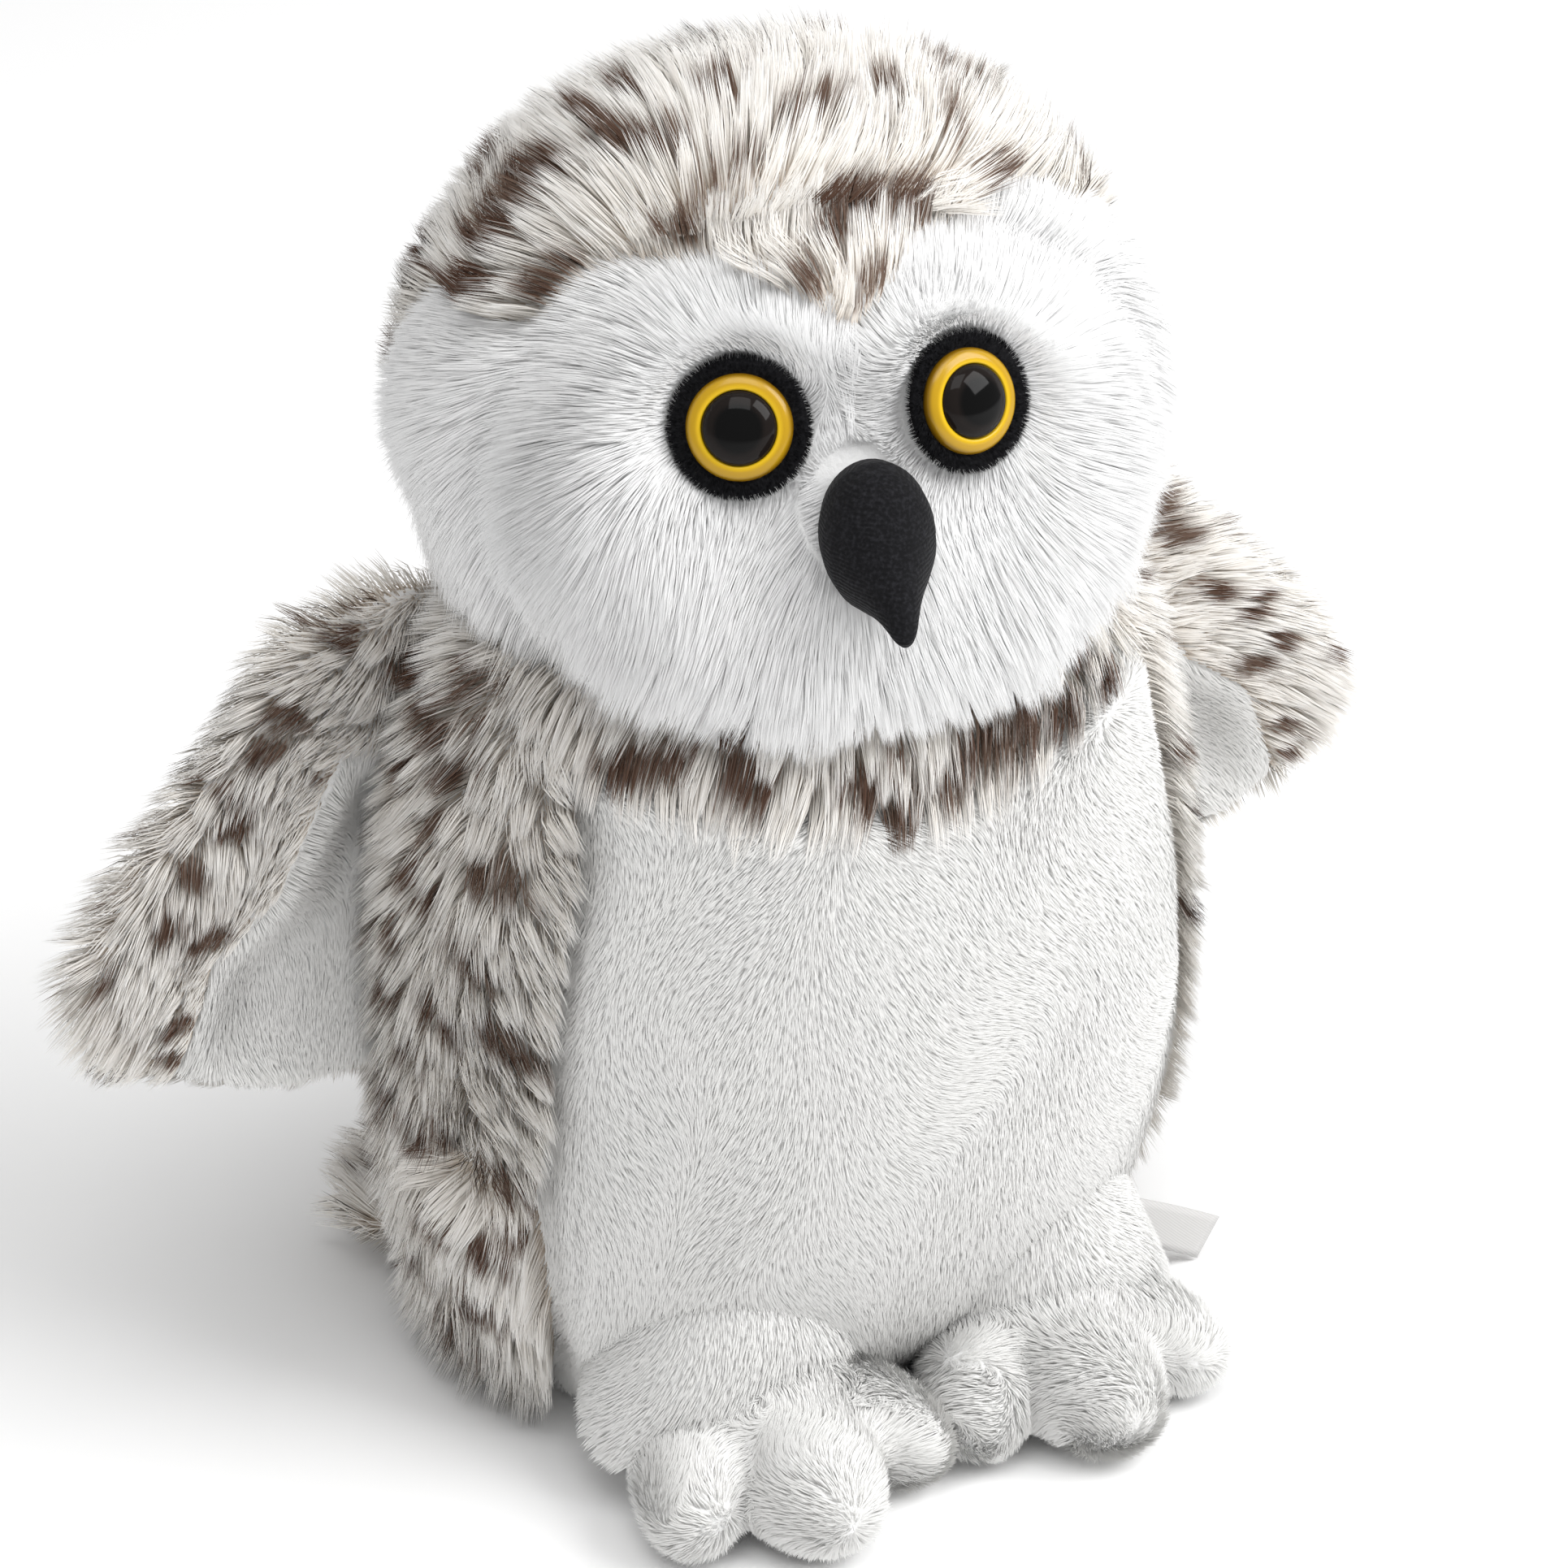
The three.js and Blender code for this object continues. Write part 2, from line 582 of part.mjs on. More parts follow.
function wingPieces() {
  const shell = wingForm(0).subtract(wingForm(SHORT_PILE));
  const parts = {
    outer: shell.subtract(liningRoom(SEAM_GAP)),
    lining: shell.intersect(liningRoom(0)),
    filling: wingForm(SHORT_PILE + SEAM_GAP),
  };
  const hinge = wingHinge(1);
  const body = passedBy(bodyRoom, hinge.point, hinge.axis, WING_FOLD);
  const head = passedBy(neckBowl, hinge.point, hinge.axis, WING_FOLD);
  const pieces = {};
  for (const [part, solid] of Object.entries(parts)) {
    const cut = largest(solid.subtract(body).subtract(head));
    pieces[`wing_${part}_left`] = cut;
    pieces[`wing_${part}_right`] = cut.mirror([1, 0, 0]);
  }
  return pieces;
}

// Cutting can leave crumbs: only the largest body of a solid is kept.
function largest(solid) {
  return solid.decompose().sort((a, b) => b.volume() - a.volume())[0];
}

// Tail pieces, drawn from above

function tailPieces() {
  const half = TAIL_WIDTH / 2;
  const inner = TAIL_END - TAIL_LENGTH;
  const outline = [
    [-half * 0.6, inner + 4], [0, inner], [half * 0.6, inner + 4], [half * 0.97, TAIL_END - 43],
    [half * 0.94, TAIL_END - 25], [half * 0.55, TAIL_END - 6], [0, TAIL_END],
    [-half * 0.55, TAIL_END - 6], [-half * 0.94, TAIL_END - 25], [-half * 0.97, TAIL_END - 43],
  ].map(([x, y]) => new THREE.Vector2(x, y));
  const form = (inset) => pad(outline, TAIL_THICKNESS, inset, 26, 8).translate(0, 0, TAIL_HEIGHT);
  const shell = form(0).subtract(form(SHORT_PILE));
  const body = passedBy(bodyRoom, TAIL_HINGE, new THREE.Vector3(1, 0, 0), TAIL_LIFT);
  return {
    tail_top: largest(shell.intersect(above(TAIL_HEIGHT + SEAM_GAP / 2)).subtract(body)),
    tail_underside: largest(shell.intersect(below(TAIL_HEIGHT - SEAM_GAP / 2)).subtract(body)),
    tail_filling: largest(form(SHORT_PILE + SEAM_GAP).subtract(body)),
  };
}

// Foot and leg pieces

// A ball stretched to its sizes, turned on its upright axis and pressed on the floor.
function lobe(sizes, splay, x, y, inset, around) {
  const half = sizes.clone().multiplyScalar(0.5);
  const turn = THREE.MathUtils.degToRad(splay);
  const centre = new THREE.Vector3(x, y, half.z - SOLE_CUT);
  return stuffed((point) => {
    point.multiply(half.clone().addScalar(-inset)).applyAxisAngle(UP, turn).add(centre);
  }, around, around / 2);
}

function footForm(inset, around = 12) {
  const instep = new THREE.Vector3(INSTEP_WIDTH, INSTEP_LENGTH, INSTEP_HEIGHT);
  const middleToe = new THREE.Vector3(MIDDLE_TOE_WIDTH, MIDDLE_TOE_LENGTH, MIDDLE_TOE_HEIGHT);
  const sideToe = new THREE.Vector3(SIDE_TOE_WIDTH, SIDE_TOE_LENGTH, SIDE_TOE_HEIGHT);
  let foot = lobe(instep, 0, FOOT_SPREAD, INSTEP_FRONT, inset, around)
    .add(lobe(middleToe, 0, FOOT_SPREAD, TOE_FRONT, inset, around));
  for (const side of [-1, 1]) {
    const across = FOOT_SPREAD + side * TOE_SPREAD;
    foot = foot.add(lobe(sideToe, side * TOE_SPLAY, across, TOE_FRONT + SIDE_TOE_BACK, inset, around));
  }
  return foot.intersect(above(0)).intersect(leftOf(MOVING_GAP));
}

function footHinge(side) {
  return { point: FOOT_HINGE.clone().setX(side * FOOT_SPREAD), axis: new THREE.Vector3(-1, 0, 0) };
}

function footPieces() {
  const hinge = footHinge(1);
  const body = passedBy(bodyRoom, hinge.point, hinge.axis, FOOT_LIFT);
  const inner = footForm(SHORT_PILE, 8);
  const parts = {
    foot_upper: footForm(0).subtract(inner).intersect(above(SOLE + SEAM_GAP)).subtract(body),
    foot_sole: footForm(0).intersect(below(SOLE)).subtract(body),
    foot_stuffing: footForm(SHORT_PILE + SEAM_GAP, 8).intersect(above(SOLE + SEAM_GAP)).subtract(body),
  };
  const lifted = new THREE.Vector3(1, 0, 0);
  const foot = passedBy(footForm(-MOVING_GAP - 1, 10), hinge.point, lifted, FOOT_LIFT);
  const dome = new THREE.Vector3(LEG_WIDTH, LEG_DEPTH, LEG_HEIGHT).multiplyScalar(0.5);
  const leg = (inset) => stuffed((point) => {
    point.multiply(dome.clone().addScalar(-inset));
    point.add(new THREE.Vector3(LEG_ACROSS, LEG_FRONT, LEG_MIDDLE));
  }, 18, 10).intersect(leftOf(SEAM_GAP));
  const joined = bodyForm(-SEAM_GAP).add(foot);
  parts.leg_cuff = leg(0).subtract(leg(SHORT_PILE)).intersect(above(LEG_HEM)).subtract(joined);
  parts.leg_stuffing = leg(SHORT_PILE + SEAM_GAP).intersect(above(LEG_HEM + 2)).subtract(joined);
  const pieces = {};
  for (const [part, solid] of Object.entries(parts)) {
    pieces[`${part}_left`] = largest(solid);
    pieces[`${part}_right`] = largest(solid).mirror([1, 0, 0]);
  }
  return pieces;
}

// The label, held in the left side seam

function labelHinge() {
  return { point: LABEL_ROOT, axis: UP };
}

function careLabel() {
  const { point, axis } = labelHinge();
  const half = new THREE.Vector3(0, LABEL_THICKNESS / 2, LABEL_WIDTH / 2);
  const low = point.clone().sub(half);
  const high = point.clone().add(half).setX(point.x + LABEL_LENGTH);
  low.x -= LABEL_LENGTH / 2;
  const tape = turned(block(low, high), point, new THREE.Vector3(0, 1, 0), LABEL_DROOP);
  return largest(tape.subtract(passedBy(bodyRoom, point, axis, LABEL_FLAP)));
}

// Colours and finish, and the assembled toy

const FINISHES = {
  spotted: { color: 0xd9d0c4, roughness: 0.95, metalness: 0 },
  white: { color: 0xf1f0ee, roughness: 0.95, metalness: 0 },
  felt: { color: 0x202023, roughness: 0.9, metalness: 0 },
  amber: { color: 0xe0ac12, roughness: 0.18, metalness: 0 },
  black: { color: 0x120d0b, roughness: 0.06, metalness: 0 },
  washer: { color: 0xf5f5f0, roughness: 0.5, metalness: 0 },
  stuffing: { color: 0xfbfbf8, roughness: 1, metalness: 0 },
  pellets: { color: 0xdcd6c8, roughness: 0.9, metalness: 0 },
  satin: { color: 0xf6f6f6, roughness: 0.45, metalness: 0 },
};

const FINISH_WORDS = [
  ['label', 'satin'], ['pellet', 'pellets'], ['stuffing', 'stuffing'], ['filling', 'stuffing'],
  ['washer', 'washer'], ['iris', 'amber'], ['pupil', 'black'], ['felt', 'felt'], ['patch', 'felt'],
  ['crown', 'spotted'], ['ruff', 'spotted'], ['back', 'spotted'], ['outer', 'spotted'],
  ['tail', 'spotted'], ['', 'white'],
];

function finishOf(name) {
  const [, finish] = FINISH_WORDS.find(([word]) => name.includes(word));
  return new THREE.MeshStandardMaterial(FINISHES[finish]);
}

function addPieces(group, pieces) {
  for (const [name, solid] of Object.entries(pieces)) {
    const mesh = new THREE.Mesh(geometryOf(solid), finishOf(name));
    mesh.name = name;
    group.add(mesh);
  }
}

function buildOwl() {
  const toy = new THREE.Group();
  const head = new THREE.Group();
  head.position.copy(HEAD_CENTRE);
  head.rotation.z = THREE.MathUtils.degToRad(HEAD_TURN);
  addPieces(head, headPieces());
  toy.add(head);
  addPieces(toy, bodyPieces());
  addPieces(toy, wingPieces());
  addPieces(toy, tailPieces());
  addPieces(toy, footPieces());
  addPieces(toy, { care_label: careLabel() });
  // The origin is the middle of the toy's box, on the floor.
  toy.updateMatrixWorld(true);
  const box = new THREE.Box3().setFromObject(toy, true);
  const middle = box.getCenter(new THREE.Vector3());
  toy.position.set(-middle.x, -middle.y, -box.min.z);
  return toy;
}

export default buildOwl();
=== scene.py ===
# %% [markdown]
# A plush snowy owl, dressed over its solid model.
# The solid model gives every piece its place and size. This lesson puts the cloth, the pile,
# the eyes and the beak on it, and then the light and the camera.
# It works in metres, with the owl looking along -Y, its own left side at +X and +Z up.

import json
import math

import bmesh
import bpy
import numpy as np
from mathutils import Matrix, Vector, kdtree

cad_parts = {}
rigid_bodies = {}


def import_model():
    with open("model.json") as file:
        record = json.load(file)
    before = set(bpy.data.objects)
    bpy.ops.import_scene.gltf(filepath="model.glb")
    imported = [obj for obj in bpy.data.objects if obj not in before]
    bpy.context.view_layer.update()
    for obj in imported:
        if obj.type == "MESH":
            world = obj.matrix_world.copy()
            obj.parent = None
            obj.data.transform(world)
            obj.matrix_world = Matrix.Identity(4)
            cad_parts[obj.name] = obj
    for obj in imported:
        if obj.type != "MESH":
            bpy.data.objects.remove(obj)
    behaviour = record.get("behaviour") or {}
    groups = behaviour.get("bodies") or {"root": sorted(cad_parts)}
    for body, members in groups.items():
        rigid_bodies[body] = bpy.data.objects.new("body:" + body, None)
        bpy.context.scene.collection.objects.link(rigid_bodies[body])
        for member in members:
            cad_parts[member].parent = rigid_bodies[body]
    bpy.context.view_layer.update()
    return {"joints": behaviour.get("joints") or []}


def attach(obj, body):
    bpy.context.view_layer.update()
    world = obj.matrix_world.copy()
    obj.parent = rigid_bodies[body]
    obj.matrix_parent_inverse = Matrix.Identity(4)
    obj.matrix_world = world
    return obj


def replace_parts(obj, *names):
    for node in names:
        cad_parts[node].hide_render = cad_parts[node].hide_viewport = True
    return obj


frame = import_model()
MM = 0.001
JOINTS = {joint["name"]: joint for joint in frame["joints"]}

# %% [markdown]
# The head and the body are both near to balls, so one rule for each says where a point of a unit
# ball lands on the cloth. The pile stands on that cloth, so the cloth lies deeper than the outside
# of the toy: 7.5 mm under the long fur of the body, 6.5 mm under the crown's, 4 mm under the
# face's and 2 mm under the short plush.

# %% Driving sizes
NECK = Vector(JOINTS["neck_turn"]["pos_m"])
HEAD_TURN = math.radians(-13)
HEAD = Matrix.Translation(NECK) @ Matrix.Rotation(HEAD_TURN, 4, "Z")
BODY_Y = NECK.y - 1 * MM
HEAD_HALF = Vector((71.5, 64.5, 62.5)) * MM
HEAD_BELOW_TRIM = 1.5 * MM
EYE_ACROSS, EYE_UP = 19.75 * MM, 16 * MM
SOCKET, SOCKET_REACH = 13 * MM, 21 * MM
BODY_HALF = Vector((85, 65.5, 95.2)) * MM
BODY_MIDDLE = 88.2 * MM
BODY_FULLNESS, BODY_TAPER = 0.33, 0.04
BASE_SHIFT, BASE_Z = 14 * MM, 1.5 * MM
LONG_SINK, CROWN_SINK, FACE_SINK, SHORT_SINK = 7.5 * MM, 6.5 * MM, 4 * MM, 2 * MM
SIDES = (("right", -1), ("left", 1))
DOWN = np.array([[0, 0, -1.0]])
HEAD_ROOTS, BODY_ROOTS, WING_ROOTS = 6.2, 5.3, 6.4  # strands that stand on a square mm of cloth
TAIL_ROOTS, FOOT_ROOTS, CUFF_ROOTS, FELT_ROOTS = 3.0, 6.2, 4.6, 16.0
print("head turns about", tuple(round(c, 4) for c in NECK))


# %% Helpers that make meshes
def keep(bm, name, body, material):
    """Turns a bmesh into a finished piece that rides on one body.

    Blender leaves the points and faces of a ball in another order in each run. The pile's roots
    are drawn along that order, so it is sorted here, and each run then grows the same fur.
    """
    bmesh.ops.remove_doubles(bm, verts=bm.verts, dist=1e-6)
    bmesh.ops.recalc_face_normals(bm, faces=bm.faces)
    verts = sorted(bm.verts, key=lambda vert: [round(c / 1e-7) for c in vert.co])
    rank = {vert: place for place, vert in enumerate(verts)}
    rings = [[rank[vert] for vert in face.verts] for face in bm.faces]
    rings = sorted(ring[ring.index(min(ring)) :] + ring[: ring.index(min(ring))] for ring in rings)
    mesh = bpy.data.meshes.new(name)
    mesh.from_pydata([vert.co for vert in verts], [], rings)
    bm.free()
    return finished(mesh, name, body, material)


def finished(mesh, name, body, material):
    piece = bpy.data.objects.new(name, mesh)
    bpy.context.scene.collection.objects.link(piece)
    mesh.polygons.foreach_set("use_smooth", [True] * len(mesh.polygons))
    mesh.materials.clear()
    mesh.materials.append(material)
    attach(piece, body)
    return piece


def ball(around, down, place):
    """A unit ball whose points are moved to their place."""
    bm = bmesh.new()
    bmesh.ops.create_uvsphere(bm, u_segments=around, v_segments=down, radius=1)
    for vert in bm.verts:
        vert.co = place(vert.co.copy())
    return bm


def set_live(piece):
    """Replaces a piece's mesh by what its modifiers make of it."""
    graph = bpy.context.evaluated_depsgraph_get()
    mesh = bpy.data.meshes.new_from_object(piece.evaluated_get(graph))
    piece.modifiers.clear()
    piece.data = mesh
    mesh.polygons.foreach_set("use_smooth", [True] * len(mesh.polygons))


def smoothstep(value):
    value = np.clip(value, 0, 1)
    return value * value * (3 - 2 * value)


def rise(value, start, span):
    """0 up to start, 1 from span past it, and a smooth rise between."""
    return smoothstep((value - start) / span)


def near(away, reach):
    """1 at no distance, fading smoothly to nothing well past reach."""
    return np.exp(-((away / reach) ** 2))


def way_to(turn, up):
    """The direction that lies turn degrees from the front to the owl's left, and up above level."""
    turn, up = math.radians(turn), math.radians(up)
    return Vector((math.sin(turn) * math.cos(up), -math.cos(turn) * math.cos(up), math.sin(up)))


# %% [markdown]
# Shader maths reads best as plain sums. A small class holds one output of a node and turns
# + and * into Math nodes, and one method adds any other node.

# %% Shader helpers
class Value:
    """One socket of a material's nodes, which can be added to and multiplied."""

    def __init__(self, paint, socket):
        self.paint, self.socket = paint, socket

    def maths(self, operation, *others):
        return self.paint.node("ShaderNodeMath", {"operation": operation}, self, *others)

    def __add__(self, other):
        return self.maths("ADD", other)

    def __mul__(self, other):
        return self.maths("MULTIPLY", other)

    def clamped(self):
        return self.paint.node("ShaderNodeClamp", {}, self)

    def between(self, low, high):
        """0 below low, 1 above high and a smooth rise from one to the other."""
        return self.paint.node(
            "ShaderNodeMapRange", {"interpolation_type": "SMOOTHSTEP"}, self, low, high, 0.0, 1.0
        )


class Paint:
    """A new material and the nodes that feed its one shader."""

    def __init__(self, name, roughness, **constants):
        self.material = bpy.data.materials.new(name)
        self.material.use_nodes = True
        self.tree = self.material.node_tree
        self.shader = self.tree.nodes["Principled BSDF"]
        self.shader.inputs["Roughness"].default_value = roughness
        for socket, value in constants.items():
            self.shader.inputs[socket.replace("_", " ")].default_value = value

    def node(self, kind, settings, *inputs, out=0, **named):
        made = self.tree.nodes.new(kind)
        for key, value in settings.items():
            setattr(made, key, value)
        for key, value in [*enumerate(inputs), *named.items()]:
            self.feed(made.inputs[key], value)
        return Value(self, made.outputs[out])

    def feed(self, socket, value):
        if isinstance(value, Value):
            self.tree.links.new(value.socket, socket)
        elif value is not None:
            socket.default_value = value

    def mix(self, part, a, b):
        """A colour between a and b."""
        made = self.tree.nodes.new("ShaderNodeMix")
        made.data_type = "RGBA"
        self.feed(made.inputs[0], part)
        self.feed(made.inputs[6], a)
        self.feed(made.inputs[7], b)
        return Value(self, made.outputs[2])

    def place(self):
        return self.node("ShaderNodeTexCoord", {}, out="Object")

    def reading(self, name):
        return self.node("ShaderNodeAttribute", {"attribute_name": name}, out="Fac")

    def noise(self, scale, detail=2.0):
        return self.node("ShaderNodeTexNoise", {}, Vector=self.place(), Scale=scale, Detail=detail)

    def bumped(self, height, strength, distance):
        bump = self.node(
            "ShaderNodeBump", {}, Strength=strength, Distance=distance, Height=height, out="Normal"
        )
        self.feed(self.shader.inputs["Normal"], bump)

    def coloured(self, colour):
        self.feed(self.shader.inputs["Base Color"], colour)
        return self.material


# %% [markdown]
# Each strand of pile carries three numbers: how far along the strand a point is, how light the
# strand is beside the others, and how much of the dark spot dye it has taken. The dyer prints the
# tips, so the dye starts part of the way up and the root stays beige.

# %% Colours of the pile
BEIGE_ROOT = (0.56, 0.47, 0.38, 1)
CREAM = (0.92, 0.885, 0.83, 1)
CREAM_TIP = (0.96, 0.945, 0.92, 1)
SPOT_BROWN = (0.088, 0.042, 0.025, 1)
SPOT_PALE = (0.20, 0.12, 0.08, 1)
WHITE_ROOT = (0.90, 0.90, 0.90, 1)
WHITE_TIP = (0.91, 0.91, 0.908, 1)
PLUSH_ROOT = (0.83, 0.826, 0.81, 1)
PLUSH_TIP = (0.86, 0.857, 0.842, 1)


def spotted_pile():
    paint = Paint("spotted_fur", 0.55, Specular_IOR_Level=0.25)
    along, tone, dye = (paint.reading(name) for name in ("along", "tone", "dye"))
    plain = paint.mix(along.between(0.0, 0.4), BEIGE_ROOT, CREAM)
    plain = paint.mix(along.between(0.45, 0.95), plain, CREAM_TIP)
    brown = paint.mix(along.between(0.3, 0.6), SPOT_PALE, SPOT_BROWN)
    dyed = paint.mix((dye * along.between(0.22, 0.46)).clamped(), plain, brown)
    return paint.coloured(paint.mix(tone, dyed, paint.mix(0.16, dyed, BEIGE_ROOT)))


def white_pile(name, root, tip):
    paint = Paint(name, 0.55, Specular_IOR_Level=0.25)
    along, tone = paint.reading("along"), paint.reading("tone")
    plain = paint.mix(along.between(0.0, 0.6), root, tip)
    return paint.coloured(paint.mix(tone * 0.5, plain, root))


def backing(name, low, high):
    """The knitted ground that the pile stands on."""
    paint = Paint(name, 0.9, Specular_IOR_Level=0.2)
    knit = paint.noise(900.0, 3.0)
    paint.bumped(knit, 0.5, 0.0004)
    return paint.coloured(paint.mix(paint.noise(60.0), low, high))


SPOTTED = spotted_pile()
WHITE = white_pile("long_white_fur", WHITE_ROOT, WHITE_TIP)
PLUSH = white_pile("short_white_plush", PLUSH_ROOT, PLUSH_TIP)
BEIGE_GROUND = backing("beige_ground", (0.34, 0.28, 0.22, 1), (0.46, 0.38, 0.31, 1))
WHITE_GROUND = backing("white_ground", (0.88, 0.88, 0.875, 1), (0.93, 0.93, 0.925, 1))
print("pile and ground materials made")

# %% [markdown]
# The fur is real strands, because the tufts and the broken outline are what the eye reads as fur.
# No mesh operator grows pile, so this step writes its own points: a strand is a flat ribbon that
# tapers to a tip, bent from its lean at the root to its lean at the tip. Neighbours share a lock,
# and the cling draws their tips together, which gives the tufts.


# %% Helpers that grow pile
def unit(vectors):
    return vectors / np.maximum(np.linalg.norm(vectors, axis=1, keepdims=True), 1e-9)


def along_cloth(vectors, out):
    """The part of each vector that lies along the cloth."""
    return unit(vectors - (vectors * out).sum(1, keepdims=True) * out)


WAVES, WAVES_SWING = 7, 2.6


def wander(at, size, seed):
    """A smooth field of random vectors, which changes over about size."""
    rng = np.random.default_rng(seed)
    waves = rng.normal(0, 1 / size, (WAVES, 3))
    starts = rng.uniform(0, 2 * math.pi, (WAVES, 3))
    phase = at @ waves.T
    return sum(np.sin(phase[:, i : i + 1] + starts[i]) for i in range(WAVES)) / WAVES_SWING


def roots(piece, per_square_mm, seed):
    """Random places on a piece's cloth, as many as its area asks for, and the way out there."""
    mesh = piece.data
    mesh.calc_loop_triangles()
    corners = np.empty(len(mesh.loop_triangles) * 3, dtype=np.int32)
    mesh.loop_triangles.foreach_get("vertices", corners)
    points = np.empty(len(mesh.vertices) * 3)
    mesh.vertices.foreach_get("co", points)
    normals = np.empty(len(mesh.vertices) * 3)
    mesh.vertices.foreach_get("normal", normals)
    corners, points, normals = corners.reshape(-1, 3), points.reshape(-1, 3), normals.reshape(-1, 3)
    a, b, c = (points[corners[:, i]] for i in range(3))
    area = np.linalg.norm(np.cross(b - a, c - a), axis=1) / 2
    rng = np.random.default_rng(seed)
    count = int(area.sum() / MM**2 * per_square_mm)
    pick = np.searchsorted(np.cumsum(area), rng.uniform(0, area.sum(), count))
    u, v = rng.uniform(size=(2, count, 1))
    u, v = np.where(u + v > 1, 1 - u, u), np.where(u + v > 1, 1 - v, v)
    share = (1 - u - v, u, v)
    at = sum(w * points[corners[pick, i]] for i, w in enumerate(share))
    out = unit(sum(w * normals[corners[pick, i]] for i, w in enumerate(share)))
    return at, out


def locks(at, spacing, rng):
    """For each strand, the strand in the middle of its lock."""
    share = 1 / np.broadcast_to(spacing, len(at))
    middles = rng.choice(len(at), max(8, int(share.sum())), replace=False, p=share / share.sum())
    tree = kdtree.KDTree(len(middles))
    for i, place in enumerate(at[middles]):
        tree.insert(place, i)
    tree.balance()
    return middles[[tree.find(place)[1] for place in at]]


def ribbons(name, line, side, wide, numbers):
    """A mesh of tapering ribbons along line, an array of steps x strands x 3.

    Each step but the last has a point on both sides of the strand, and the last is the tip."""
    steps, count = line.shape[0], line.shape[1]
    taper = 1 - 0.5 * (np.arange(steps - 1) / (steps - 1)) ** 1.5
    per = 2 * steps - 1
    points = np.empty((count, per, 3))
    for k in range(steps - 1):
        half = side * (wide * taper[k] / 2)[:, None]
        points[:, 2 * k], points[:, 2 * k + 1] = line[k] - half, line[k] + half
    points[:, -1] = line[-1]
    one = [i for k in range(steps - 2) for i in (2 * k, 2 * k + 1, 2 * k + 3, 2 * k + 2)]
    one += [per - 3, per - 2, per - 1]
    sizes = [4] * (steps - 2) + [3]
    loops = (np.arange(count)[:, None] * per + np.array(one)).astype(np.int32).ravel()
    starts = np.cumsum([0] + sizes[:-1])
    starts = (np.arange(count)[:, None] * len(one) + starts).astype(np.int32).ravel()
    mesh = bpy.data.meshes.new(name)
    mesh.vertices.add(count * per)
    mesh.vertices.foreach_set("co", points.ravel())
    mesh.loops.add(len(loops))
    mesh.loops.foreach_set("vertex_index", loops)
    mesh.polygons.add(len(starts))
    mesh.polygons.foreach_set("loop_start", starts)
    mesh.update(calc_edges=True)
    heights = np.minimum(np.arange(per) // 2 / (steps - 1), 1)
    values = {"along": np.tile(heights, count)}
    values.update({key: np.repeat(value, per) for key, value in numbers.items()})
    for key, value in values.items():
        layer = mesh.attributes.new(key, "FLOAT", "POINT")
        layer.data.foreach_set("value", value.astype(np.float32))
    unwrap(mesh, count, per, one, heights)
    return mesh


def lit_as_cloth(piece, facing, per):
    """Shades each strand mostly as the cloth under it, as a thick pile of fine hair looks."""
    piece.data.normals_split_custom_set_from_vertices(np.repeat(facing, per, axis=0).tolist())


def unwrap(mesh, count, per, one, heights):
    """Gives every strand its own small cell of the map: u across it and v along it."""
    columns = math.ceil(math.sqrt(2 * count))
    rows = math.ceil(count / columns)
    cell = np.arange(count)
    margin_u, margin_v = 0.12, 0.06
    across = np.array([margin_u if i % 2 == 0 else 1 - margin_u for i in range(per - 1)] + [0.5])
    u = (cell % columns)[:, None] + across[one]
    v = (cell // columns)[:, None] + margin_v + (1 - 2 * margin_v) * heights[one]
    layer = mesh.uv_layers.new(name="OFBake")
    layer.data.foreach_set("uv", np.stack([u / columns, v / rows], -1).astype(np.float32).ravel())


def grow(name, at, out, comb, long, body, slot, material, *, lean, clump, cling, wide=0.26,
         dye=None, seed=1, soft=0.85, twist=0.35):
    """Grows pile from the roots at, on cloth that faces out.

    comb is the way that the pile lies and long its length. lean is its angle from upright at the
    root and at the tip. clump is how many strands share a lock, cling how closely their tips meet,
    wide a strand's width in mm, soft how much it is lit as the cloth, and twist how far it turns.
    """
    steps, lowest = 3, 0.4 * MM
    rng = np.random.default_rng(seed)
    count = len(at)
    start, end = (np.radians(angle + rng.normal(0, 7, count))[:, None] for angle in lean)
    long = (np.broadcast_to(long, count) * rng.uniform(0.78, 1.08, count))[:, None]
    bend = at + (out * np.cos(start) + comb * np.sin(start)) * long / 2
    tip = bend + (out * np.cos(end) + comb * np.sin(end)) * long / 2
    middle = locks(at, clump, rng)
    pull = (np.broadcast_to(cling, count) * rng.uniform(0.45, 1.15, count))[middle][:, None]
    tip = tip + (tip[middle] - tip) * pull
    bend = bend + (bend[middle] - bend) * pull * 0.3
    for points in (bend, tip):
        points[:, 2] = np.maximum(points[:, 2], lowest)
    t = np.linspace(0, 1, steps)[:, None, None]
    line = (1 - t) ** 2 * at + 2 * t * (1 - t) * bend + t**2 * tip
    side = unit(np.cross(tip - at, out + rng.normal(0, twist, (count, 3))))
    patchy = 0.3 * wander(at, 9 * MM, seed + 500)[:, 0]
    patchy += 0.2 * rng.normal(0, 1, count)[middle]
    numbers = {
        "tone": np.clip(rng.normal(0.35, 0.2, count) + patchy, 0, 1),
        "dye": np.zeros(count) if dye is None else dye(tip, out, rng),
    }
    thick = wide * MM * rng.uniform(0.75, 1.2, count)
    mesh = ribbons(name, line, side, thick, numbers)
    print(f"{name}: {count} strands")
    pile = finished(mesh, name, body, material)
    facing = unit(np.cross(side, tip - at))
    lit_as_cloth(pile, unit(out * soft + facing * (1 - soft)), 2 * steps - 1)
    return pile


def spotted(name, at, out, comb, long, body, clump=42, cling=0.6, **options):
    return grow(name, at, out, comb, long, body, "spotted_fur", SPOTTED,
                clump=clump, cling=cling, **options)


